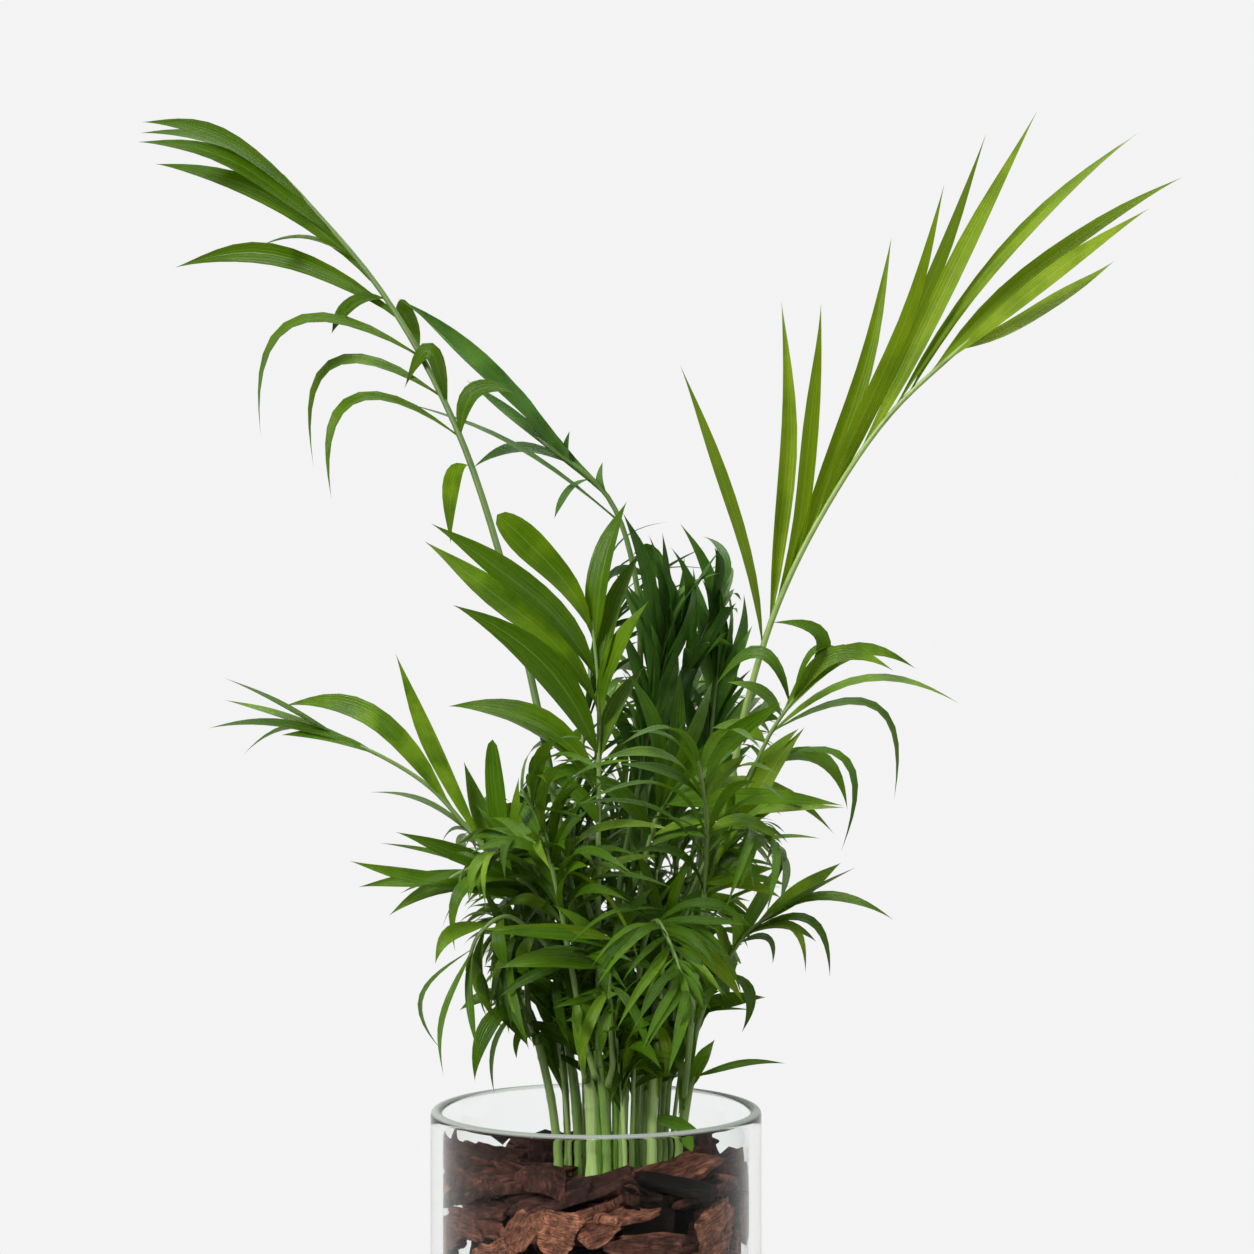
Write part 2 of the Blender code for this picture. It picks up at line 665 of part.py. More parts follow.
def tier_leaves(frond, rib):
    """Pairs of leaflets that open less and less towards the rib's tip, and a last pair at its end."""
    choice = random.Random(frond["name"])
    fine = evenly(rib, 101)
    pairs = frond["pairs"]
    for index in range(pairs + 1):
        share = index / pairs
        spot = min(98, int(100 * (0.42 + 0.57 * share)))
        along = (fine[spot + 1] - fine[spot - 1]).normalized()
        side = along.cross(Vector((0.0, 0.0, 1.0))).normalized()
        opening = math.radians(66 - 44 * share + choice.uniform(-7, 7))
        length = frond["length"] * (0.72 + 0.36 * math.sin(math.pi * (0.15 + 0.75 * share)))
        width = 7.5 + 2.5 * choice.random()
        droop = choice.uniform(0.05, 0.3)
        turn = math.radians(choice.uniform(66, 114))
        for hand in (-1, 1):
            root = fine[spot + hand] + nudge(choice)
            tries = []
            for shorter in (1.0, 0.86, 0.72):
                for twist in (0.0, 0.2, -0.2, 0.4, -0.4):
                    angle = opening + twist
                    way = along * math.cos(angle) + side * hand * math.sin(angle)
                    way = (way - Vector((0.0, 0.0, droop))).normalized()
                    tip = root + way * length * shorter
                    if not in_crown(tip):
                        continue
                    up = upward(tip - root, root)
                    front = (tip - root).cross(up)
                    front = -front if front.y > 0 else front
                    rise = 0.08 + droop * 0.5
                    tries.append((sunk(root, tip), tip, up, rise, turn, width, POINTED, front))
            yield tries


def tier_fronds():
    """The fronds of each tier, spread over its sweep, each on the stem that stands nearest its way."""
    used = {name: set() for name in STEMS}
    for frond in MEASURED:
        used[frond["stem"]].add(frond["level"])
    fronds = []
    for title, count, middle, sweep, height, reach, arch, pairs, length in TIERS:
        for index in range(count):
            bearing = middle + sweep * ((2 * index + 1) / count - 1)
            way = Vector((math.cos(math.radians(bearing)), math.sin(math.radians(bearing))))

            def fit(name):
                stem = STEMS[name]
                offset = Vector((stem[0] - CLUMP[0], stem[1] - CLUMP[1]))
                return offset.dot(way) - 14 * len(used[name])

            stem = max(STEMS, key=fit)
            free = [level for level in (1.0, *TIER_LEVELS) if level not in used[stem]]
            level = free[0]
            used[stem].add(level)
            sway = random.Random(f"{title}{index}")
            fronds.append(
                dict(
                    name=f"{title}_{index + 1}", stem=stem, level=level, bearing=bearing,
                    height=height + sway.uniform(-14, 14), reach=reach * sway.uniform(0.86, 1.08),
                    arch=arch, pairs=pairs, length=length,
                )
            )
    return fronds


def seated_stalk(name, rib, radii, stem_tree, collection):
    """The rib as a tube, its foot slid towards the stem until the two lie GAP apart."""
    stalk = tube(name, rib, radii, 0, collection)
    corners = [vertex.co / MM for vertex in stalk.data.vertices]
    feet = sorted(corners, key=lambda place: (place - rib[0]).length)[:4]
    feet += [first.lerp(second, 0.5) for first, second in itertools.combinations(feet, 2)]
    nearest, _, _, gap = min((stem_tree.find_nearest(place) for place in feet), key=lambda found: found[3])
    remove(stalk)
    foot = rib[0] + (nearest - rib[0]).normalized() * (gap - GAP)
    return tube(name, [foot] + rib[1:], radii, 0, collection)


def grow(frond, room, rib_of, leaves_of, ways, collection):
    """One frond: the first rib and leaflets that keep clear of what stands there, fused into one blade."""
    name = frond["name"]
    radii = rib_radii(RIB_STATIONS)
    for drop, way in itertools.product(LEVEL_DROPS, ways):
        rib = rib_of(frond | {"level": frond["level"] - drop}, *way)
        if room.is_free(name, *tube_shell(rib, radii, CLEAR)):
            break
    else:
        print(name, "has no room for its rib")
        return None
    leaflets = []
    skipped = 0
    for tries in leaves_of(frond, rib):
        fits = [leaf for leaf in tries if room.is_free(name, *blade_shell(leaf, CLEAR))]
        if fits:
            leaflets.append(fits[0])
        else:
            skipped += 1
    room.add(name, *tube_shell(rib, radii, 0.0))
    pieces = []
    for index, leaf in enumerate(leaflets):
        shell = blade_shell(leaf, 0.0)
        room.add(name, *shell)
        pieces.append(mesh_object(f"{name}_leaf_{index}", *shell, collection))
    stalk = seated_stalk(name, rib, radii, room.tree_of(frond["stem"]), collection)
    print(name, "leaflets", len(leaflets), "skipped", skipped, "way", drop, way)
    return combine(stalk, "UNION", pieces) if pieces else stalk


def glass_vase(collection):
    """The vase: one turned profile, up its inside, over the round rim and down its outside."""
    inside = VASE_RADIUS - VASE_WALL
    middle = VASE_RADIUS - VASE_WALL / 2
    profile = [(0.0, VASE_BASE), (inside - 1, VASE_BASE), (inside, VASE_BASE + 1)]
    for step in range(5):
        angle = math.pi * (1 - step / 4)
        reach = VASE_WALL / 2
        profile.append((middle + reach * math.cos(angle), VASE_HEIGHT - reach + reach * math.sin(angle)))
    profile += [(VASE_RADIUS, VASE_FOOT_ROUND), (VASE_RADIUS - VASE_FOOT_ROUND, 0.0), (0.0, 0.0)]
    mesh = bpy.data.meshes.new("glass_vase")
    mesh.from_pydata(
        [(radius * MM, 0.0, height * MM) for radius, height in profile],
        [(index, index + 1) for index in range(len(profile) - 1)],
        [],
    )
    made = bpy.data.objects.new("glass_vase", mesh)
    collection.objects.link(made)
    turn = made.modifiers.new("turn", "SCREW")
    turn.steps = VASE_SIDES
    turn.render_steps = VASE_SIDES
    turn.use_merge_vertices = True
    turn.merge_threshold = 0.00001
    return as_mesh(made)


def chip(name, place, angle, turn, choice, collection):
    """One bark chip: a slab with uneven corners, turned, then slid inwards until it clears the glass."""
    bpy.ops.mesh.primitive_cube_add(size=1.0)
    made = bpy.context.object
    made.name = name
    for other in list(made.users_collection):
        other.objects.unlink(made)
    collection.objects.link(made)
    size = [side * choice.uniform(0.85, 1.15) for side in CHIP]
    for vertex in made.data.vertices:
        vertex.co = [vertex.co[axis] * size[axis] * choice.uniform(0.8, 1.05) * MM for axis in range(3)]
    made.rotation_euler = turn
    made.location = vector(place)
    bpy.context.view_layer.update()
    corners = [made.matrix_world @ vertex.co for vertex in made.data.vertices]
    beyond = max(math.hypot(corner.x, corner.y) for corner in corners) - BARK_RADIUS * MM
    made.location -= Vector((math.cos(angle), math.sin(angle), 0.0)) * max(0.0, beyond) * 1.03
    bpy.context.view_layer.update()
    return made


def bark_core(collection):
    """The packed middle of the bark, turned, with a flat bed on top."""
    bottom = VASE_BASE + GAP
    profile = [
        (0.0, BED_HEIGHT), (BED_RADIUS, BED_HEIGHT), (BED_RADIUS + 6, BARK_SHOULDER),
        (BARK_CORE_RADIUS, BARK_SHOULDER - 8), (BARK_CORE_RADIUS, bottom), (0.0, bottom),
    ]
    mesh = bpy.data.meshes.new("bark_chips")
    mesh.from_pydata(
        [(radius * MM, 0.0, height * MM) for radius, height in profile],
        [(index, index + 1) for index in range(len(profile) - 1)],
        [],
    )
    core = bpy.data.objects.new("bark_chips", mesh)
    collection.objects.link(core)
    turn = core.modifiers.new("turn", "SCREW")
    turn.steps = BARK_SIDES
    turn.render_steps = BARK_SIDES
    turn.use_merge_vertices = True
    turn.merge_threshold = 0.00001
    return as_mesh(core)


def bark_chips(collection):
    """The bark: its packed middle, with chips fused on round the top and down the side."""
    choice = random.Random("bark")
    room = Room()
    for name, stem in STEMS.items():
        room.add(name, *tube_shell(stem_route(stem), [STEM_ROOM] * STEM_STATIONS, 0.0))
    chips = []
    for radius, height, count in TOP_CHIPS:
        for index in range(count):
            angle = 2 * math.pi * (index + choice.uniform(-0.2, 0.2)) / count
            place = (radius * math.cos(angle), radius * math.sin(angle), height + choice.uniform(-3, 4))
            turn = (choice.uniform(-0.5, 0.5), choice.uniform(-0.3, 0.3), angle + choice.uniform(1.0, 2.2))
            made = chip(f"chip_{len(chips)}", place, angle, turn, choice, collection)
            corners = [(made.matrix_world @ vertex.co) / MM for vertex in made.data.vertices]
            faces = [tuple(face.vertices) for face in made.data.polygons]
            if room.is_free("chip", corners, faces):
                chips.append(made)
            else:
                remove(made)
    for row, height in enumerate(SIDE_CHIP_ROWS):
        for index in range(SIDE_CHIPS):
            angle = 2 * math.pi * (index + 0.5 * (row % 2) + choice.uniform(-0.15, 0.15)) / SIDE_CHIPS
            level = height + choice.uniform(-5, 5)
            place = (BARK_RADIUS * math.cos(angle), BARK_RADIUS * math.sin(angle), level)
            turn = (math.pi / 2 + choice.uniform(-0.12, 0.12), choice.uniform(-0.6, 0.6), angle + math.pi / 2)
            chips.append(chip(f"chip_{len(chips)}", place, angle, turn, choice, collection))
    return combine(bark_core(collection), "UNION", chips)


def main():
    for made in list(bpy.data.objects):
        bpy.data.objects.remove(made)
    collection = bpy.data.collections.new("parlour_palm")
    bpy.context.scene.collection.children.link(collection)

    glass = material("clear_glass", (0.86, 0.9, 0.89), 0.03, 0.95)
    bark_brown = material("bark_brown", (0.2, 0.09, 0.055), 0.85)
    stem_green = material("stem_green", (0.33, 0.47, 0.16), 0.45)
    bright_green = material("leaf_bright_green", (0.2, 0.34, 0.02), 0.4)
    leaf_green = material("leaf_green", (0.09, 0.2, 0.012), 0.38)
    dark_green = material("leaf_dark_green", (0.025, 0.085, 0.01), 0.35)

    room = Room()
    vase = glass_vase(collection)
    finish(vase, glass, 40)
    room.add_object(vase)

    for name, stem in STEMS.items():
        made = tube(name, stem_route(stem), stem_radii(stem), 1, collection)
        finish(made, stem_green, 50)
        room.add_object(made)

    bark = bark_chips(collection)
    finish(bark, bark_brown, 20)
    room.add_object(bark)

    for frond in MEASURED:
        made = grow(frond, room, measured_rib, measured_leaves, MEASURED_WAYS, collection)
        if made:
            bright = frond["name"] in ("frond_upper_right", "frond_front_right")
            dark = frond["name"].startswith("frond_centre") and frond["name"] != "frond_centre_broad"
            finish(made, bright_green if bright else dark_green if dark else leaf_green, 35)
    for frond in tier_fronds():
        made = grow(frond, room, tier_rib, tier_leaves, TIER_WAYS, collection)
        if made:
            finish(made, dark_green if "crown" in frond["name"] else leaf_green, 35)


main()
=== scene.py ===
import itertools
import math
import random

import bmesh
import bpy
import numpy as np
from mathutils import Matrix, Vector
from mathutils.kdtree import KDTree


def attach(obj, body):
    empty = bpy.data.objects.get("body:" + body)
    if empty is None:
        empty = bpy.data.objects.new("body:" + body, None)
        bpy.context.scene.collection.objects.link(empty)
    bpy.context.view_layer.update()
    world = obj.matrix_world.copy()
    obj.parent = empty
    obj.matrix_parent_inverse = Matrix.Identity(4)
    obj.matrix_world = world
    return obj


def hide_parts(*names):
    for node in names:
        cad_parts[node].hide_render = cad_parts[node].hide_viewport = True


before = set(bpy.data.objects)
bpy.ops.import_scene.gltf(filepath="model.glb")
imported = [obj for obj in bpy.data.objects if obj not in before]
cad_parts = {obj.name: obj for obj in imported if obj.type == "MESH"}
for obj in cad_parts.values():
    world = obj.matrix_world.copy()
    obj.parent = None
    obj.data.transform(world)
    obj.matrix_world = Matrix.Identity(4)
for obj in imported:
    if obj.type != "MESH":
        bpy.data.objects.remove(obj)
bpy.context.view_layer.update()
mm = 0.001  # every table below is in millimetres

# camera, light and floor

cameraLook = {
    "place": (0.014, -1.343, 0.418),  # level, and level with the middle of the crown
    "lens": 85.0,
    "sensor": 36.0,
    "nearest": 0.01,
}
studioLook = {
    "backdrop": (0.9, 0.9, 0.9, 1.0),  # what the camera sees behind the plant
    "around": (1.0, 1.0, 0.97, 1.0),  # what lights the plant from all sides
    "mirrored": (0.08, 0.85),  # how bright the room is in reflections, in front of the plant and behind it
    "scattered": (0.2, 0.44),  # how bright it lights the plant, from below and from above
    "floor": (0.55, 0.55, 0.55, 1.0),
    "floorRough": 0.9,
    "floorShine": 0.1,
    "floorSolid": 0.3,  # the floor fades out between these two radii, in metres
    "floorEdge": 0.56,
    "softboxes": (
        # name, place, aim, width, height, watts
        ("softbox_left", (-1.4, -1.5, 1.7), (0.0, 0.0, 0.35), 0.8, 0.8, 62.0),
        ("softbox_right", (1.7, -0.9, 1.1), (0.0, 0.0, 0.35), 0.9, 1.4, 12.0),
        ("softbox_top", (0.1, 0.5, 2.0), (0.0, 0.0, 0.4), 1.2, 1.2, 20.0),
    ),
}


def makeNode(tree, kind, links=None, **settings):
    # adds one shader node, with plain settings by name and socket values or links by number or name
    made = tree.nodes.new(kind)
    for key, value in settings.items():
        setattr(made, key, value)
    for key, value in (links or {}).items():
        if isinstance(value, bpy.types.NodeSocket):
            tree.links.new(value, made.inputs[key])
        else:
            made.inputs[key].default_value = value
    return made


def calc(tree, operation, first, second=0.0, third=0.0):
    # one Math node
    return makeNode(tree, "ShaderNodeMath", {0: first, 1: second, 2: third}, operation=operation).outputs[0]


def blendColours(tree, factor, first, second, how="MIX"):
    # one Mix node on colours
    made = makeNode(tree, "ShaderNodeMix", {0: factor, 6: first, 7: second}, data_type="RGBA", blend_type=how)
    return made.outputs[2]


def blendNumbers(tree, factor, first, second):
    # one Mix node on numbers
    return makeNode(tree, "ShaderNodeMix", {0: factor, 2: first, 3: second}, data_type="FLOAT").outputs[0]


def spread(tree, value, low, high, toLow=0.0, toHigh=1.0):
    # one Map Range node
    return makeNode(tree, "ShaderNodeMapRange", {0: value, 1: low, 2: high, 3: toLow, 4: toHigh}).outputs[0]


def noise(tree, vector, scale, detail, more=None):
    # one Noise Texture node
    sockets = {"Vector": vector, "Scale": scale, "Detail": detail} | (more or {})
    return makeNode(tree, "ShaderNodeTexNoise", sockets).outputs["Fac"]


def stretched(tree, vector, scale):
    # one Mapping node, which squeezes a pattern or draws it out
    return makeNode(tree, "ShaderNodeMapping", {"Vector": vector, "Scale": scale}).outputs[0]


def bumped(tree, shader, height, strength, distance):
    # one Bump node on the shader
    bump = makeNode(tree, "ShaderNodeBump", {"Height": height, "Strength": strength, "Distance": distance})
    tree.links.new(bump.outputs[0], shader.inputs["Normal"])


def mixShaders(tree, share, first, second):
    # one Mix Shader node
    return makeNode(tree, "ShaderNodeMixShader", {0: share, 1: first, 2: second}).outputs[0]


def finishWith(tree, shader):
    # what the surface shows in the end
    tree.links.new(shader, tree.nodes["Material Output"].inputs["Surface"])


def tint(code):
    # an sRGB colour code as the linear colour that shaders take
    parts = np.array([int(code[i:i + 2], 16) for i in (0, 2, 4)]) / 255.0
    linear = np.where(parts <= 0.04045, parts / 12.92, ((parts + 0.055) / 1.055) ** 2.4)
    return (*[float(part) for part in linear], 1.0)


def newMaterial(name):
    # a material with its nodes and its own shader
    made = bpy.data.materials.new(name)
    made.use_nodes = True
    return made, made.node_tree, made.node_tree.nodes["Principled BSDF"]


def readings(tree):
    # what a skin is drawn from: its piece's tone, the place in the room, and the piece's own map
    tone = makeNode(tree, "ShaderNodeAttribute", attribute_name="tone").outputs["Fac"]
    place = makeNode(tree, "ShaderNodeTexCoord").outputs["Object"]
    ownMap = makeNode(tree, "ShaderNodeUVMap", uv_map="blade").outputs[0]
    return tone, place, ownMap


def makeCamera():
    # level, looking along Y
    lens = bpy.data.cameras.new("photo_camera")
    lens.lens = cameraLook["lens"]
    lens.sensor_width = cameraLook["sensor"]
    lens.clip_start = cameraLook["nearest"]
    holder = bpy.data.objects.new("photo_camera", lens)
    holder.location = cameraLook["place"]
    holder.rotation_euler = (math.pi / 2, 0.0, 0.0)
    bpy.context.scene.collection.objects.link(holder)
    bpy.context.scene.camera = holder


def makeStudio():
    # the softboxes, the room and a floor that fades out
    look = studioLook
    for name, place, aim, width, height, watts in look["softboxes"]:
        lamp = bpy.data.lights.new(name, "AREA")
        lamp.shape = "RECTANGLE"
        lamp.size = width
        lamp.size_y = height
        lamp.energy = watts
        holder = bpy.data.objects.new(name, lamp)
        holder.location = place
        holder.rotation_euler = (Vector(aim) - Vector(place)).to_track_quat("-Z", "Y").to_euler()
        bpy.context.scene.collection.objects.link(holder)

    # seen straight on the room is the even backdrop; reflections and stray light get it by direction
    world = bpy.data.worlds.new("studio")
    world.use_nodes = True
    tree = world.node_tree
    path = makeNode(tree, "ShaderNodeLightPath").outputs
    straight = calc(tree, "MAXIMUM", path["Is Camera Ray"], path["Is Transmission Ray"])
    heading = makeNode(tree, "ShaderNodeTexCoord").outputs["Generated"]
    parts = makeNode(tree, "ShaderNodeSeparateXYZ", {0: heading}).outputs
    mirrored = spread(tree, parts[1], -0.1, 0.85, *look["mirrored"])
    scattered = spread(tree, parts[2], -1.0, 1.0, *look["scattered"])
    strength = blendNumbers(tree, path["Is Glossy Ray"], scattered, mirrored)
    strength = blendNumbers(tree, straight, strength, 1.0)
    colour = blendColours(tree, straight, look["around"], look["backdrop"])
    backdrop = tree.nodes["Background"]
    tree.links.new(colour, backdrop.inputs["Color"])
    tree.links.new(strength, backdrop.inputs["Strength"])
    bpy.context.scene.world = world
    bpy.context.scene.view_settings.view_transform = "Standard"

    edge = look["floorEdge"]
    bpy.ops.mesh.primitive_circle_add(vertices=96, radius=edge, fill_type="NGON", location=(0, 0, -0.0006))
    floor = bpy.context.object
    floor.name = "studio_floor"
    made, tree, shader = newMaterial("pale_floor")
    shader.inputs["Base Color"].default_value = look["floor"]
    shader.inputs["Roughness"].default_value = look["floorRough"]
    shader.inputs["Specular IOR Level"].default_value = look["floorShine"]
    place = makeNode(tree, "ShaderNodeTexCoord").outputs["Object"]
    reach = makeNode(tree, "ShaderNodeVectorMath", {0: place}, operation="LENGTH").outputs["Value"]
    gone = spread(tree, reach, look["floorSolid"], edge * 0.97)
    soft = calc(tree, "SMOOTH_MIN", gone, 1.0, 0.2)
    clear = makeNode(tree, "ShaderNodeBsdfTransparent").outputs[0]
    finishWith(tree, mixShaders(tree, soft, shader.outputs[0], clear))
    floor.data.materials.append(made)
    print("studio: camera, floor and", len(look["softboxes"]), "softboxes")


# meshes from arrays of grids


def gridPiece(name, grids, material, slot, maps=None, tones=None, wrap=False, caps=False, extra=(), crease=0):
    # grids is copies x rows x columns x 3 in millimetres; neighbouring points of each copy are
    # joined by quads, round to the first column where it wraps, with end rings closed by caps
    copies, rows, columns, _ = grids.shape
    points = grids.reshape(-1, 3) * mm
    number = np.arange(copies * rows * columns).reshape(copies, rows, columns)
    right = np.roll(number, -1, axis=2) if wrap else number[:, :, 1:]
    left = number if wrap else number[:, :, :-1]
    quads = np.stack([left[:, :-1], right[:, :-1], right[:, 1:], left[:, 1:]], axis=-1).reshape(-1, 4)
    faces = quads.tolist()
    if caps:
        faces += number[:, 0, ::-1].tolist() + number[:, -1, :].tolist()
    mesh = bpy.data.meshes.new(name)
    mesh.from_pydata(points.tolist(), [], faces)
    corners = np.empty(len(mesh.loops), np.int32)
    mesh.loops.foreach_get("vertex_index", corners)
    if maps is not None:
        layer = mesh.uv_layers.new(name="blade")
        layer.data.foreach_set("uv", maps.reshape(-1, 2)[corners].ravel().astype(np.float32))
    if tones is not None:
        layer = mesh.attributes.new("tone", "FLOAT", "POINT")
        values = np.broadcast_to(tones, (copies, rows, columns)).ravel()
        layer.data.foreach_set("value", values.astype(np.float32))
    shape = bmesh.new()
    shape.from_mesh(mesh)
    bmesh.ops.remove_doubles(shape, verts=shape.verts, dist=0.000002)
    if wrap:
        bmesh.ops.recalc_face_normals(shape, faces=shape.faces)
    shape.to_mesh(mesh)
    shape.free()
    mesh.shade_smooth()
    if crease:
        mesh.set_sharp_from_angle(angle=math.radians(crease))
    piece = bpy.data.objects.new(name, mesh)
    bpy.context.scene.collection.objects.link(piece)
    mesh.materials.append(material)
    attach(piece, "root")
    for node in extra:
        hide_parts(node)


def unit(vectors):
    # each vector over its own length
    return vectors / np.maximum(np.linalg.norm(vectors, axis=-1, keepdims=True), 1e-9)


def asArray(places):
    # vectors as rows of numbers
    return np.array([tuple(place) for place in places])


def turnedProfile(radii, heights, segments):
    # a profile of radii and heights turned round the axis
    turn = np.linspace(0, 2 * np.pi, segments, endpoint=False)
    upward = np.repeat(heights[:, None], segments, 1)
    return np.stack([radii[:, None] * np.cos(turn), radii[:, None] * np.sin(turn), upward], axis=-1)[None]


def tubeGrid(route, radii, sides):
    # a circle of each radius carried along the route, square to it, its start turned as little as can be
    route = np.asarray(route, float)
    along = unit(np.gradient(route, axis=0))
    side = unit(np.cross(along[0], (0.3, 0.9, 0.2)))
    sideways = []
    for way in along:
        side = unit(side - way * np.dot(side, way))
        sideways.append(side)
    sideways = np.array(sideways)
    over = np.cross(along, sideways)
    angle = np.linspace(0, 2 * np.pi, sides, endpoint=False)[None, :, None]
    ring = np.cos(angle) * sideways[:, None] + np.sin(angle) * over[:, None]
    return route[:, None] + ring * np.asarray(radii)[:, None, None]


# glass vase

vaseLook = {
    "radius": 75.0,
    "height": 200.0,
    "wall": 5.2,
    "base": 10.0,
    "footRound": 2.5,
    "innerRound": 3,
    "segments": 192,
    "tint": "fafcfb",
    "mirror": 0.04,  # how much of plain glass's reflection is seen straight on
    "rimLitGrey": "c9d2ca",  # the rim is painted a pale grey, by this share over this depth: painted light for the light caught in the glass rim
    "rimLitShare": 0.55,
    "rimRough": 0.28,
    "rimBand": 0.9,
}


def glassMaterial():
    look = vaseLook
    made, tree, shader = newMaterial("vase_glass")
    shader.inputs["Base Color"].default_value = tint(look["tint"])
    shader.inputs["IOR"].default_value = 1.45
    shader.inputs["Transmission Weight"].default_value = 1.0
    shader.inputs["Specular Tint"].default_value = (*[look["mirror"]] * 3, 1.0)
    place = makeNode(tree, "ShaderNodeTexCoord").outputs["Object"]
    height = makeNode(tree, "ShaderNodeSeparateXYZ", {0: place}).outputs[2]
    bumped(tree, shader, noise(tree, place, 9.0, 1.0), 0.08, 0.001)
    top = (look["height"] - look["rimBand"]) * mm
    rim = spread(tree, height, top - look["rimBand"] * mm, top)
    tree.links.new(spread(tree, rim, 0.0, 1.0, 0.0, look["rimRough"]), shader.inputs["Roughness"])
    # painted light: a pale grey diffuse mixed in over a band under the rim's top stands in for the light
    # caught in the rim
    paintedRimLight = makeNode(tree, "ShaderNodeBsdfDiffuse", {"Color": tint(look["rimLitGrey"])}).outputs[0]
    glass = mixShaders(tree, calc(tree, "MULTIPLY", rim, look["rimLitShare"]), shader.outputs[0], paintedRimLight)
    # light passes straight through to the bark, so that it isn't in the dark
    through = makeNode(tree, "ShaderNodeBsdfTransparent", {0: (0.95, 0.96, 0.95, 1.0)}).outputs[0]
    shadow = makeNode(tree, "ShaderNodeLightPath").outputs["Is Shadow Ray"]
    finishWith(tree, mixShaders(tree, shadow, glass, through))
    return made


def makeVase():
    # a profile of radius and height turned round the axis: up the inside, over the half-round
    # rim, down the outside and round the foot
    look = vaseLook
    inside = look["radius"] - look["wall"]
    half = look["wall"] / 2
    corner, inner = look["footRound"], look["innerRound"]
    rim = np.linspace(np.pi, 0, 13)
    heel = np.linspace(1.5 * np.pi, np.pi, 6)
    foot = np.linspace(0, -0.5 * np.pi, 7)
    underRim = look["height"] - half - 4
    radii = np.concatenate([
        [0.0, inside * 0.5, inside - inner], inside - inner - inner * np.cos(heel), np.full(6, inside),
        inside + half + half * np.cos(rim), np.full(6, look["radius"]),
        look["radius"] - corner + corner * np.cos(foot), [inside * 0.5, 0.0],
    ])
    heights = np.concatenate([
        [look["base"]] * 3, look["base"] + inner + inner * np.sin(heel),
        np.linspace(look["base"] + 12, underRim, 6), look["height"] - half + half * np.sin(rim),
        np.linspace(underRim, 12, 6), corner + corner * np.sin(foot), [0.0, 0.0],
    ])
    grid = turnedProfile(radii, heights, look["segments"])
    gridPiece("vase", grid, glassMaterial(), "clear_glass", wrap=True, extra=("glass_vase",))
    print("vase: a turned profile of", len(radii), "points")


# bark chips

# places in the photograph are read in the upright plane through the axis
eye = Vector((14.0, -1343.0, 418.0))


def seen(x, z, depth):
    # the place this deep behind the axis plane that is seen at x and z of that plane
    inPlane = Vector((x, 0.0, z))
    return eye + (inPlane - eye) * ((depth - eye.y) / -eye.y)


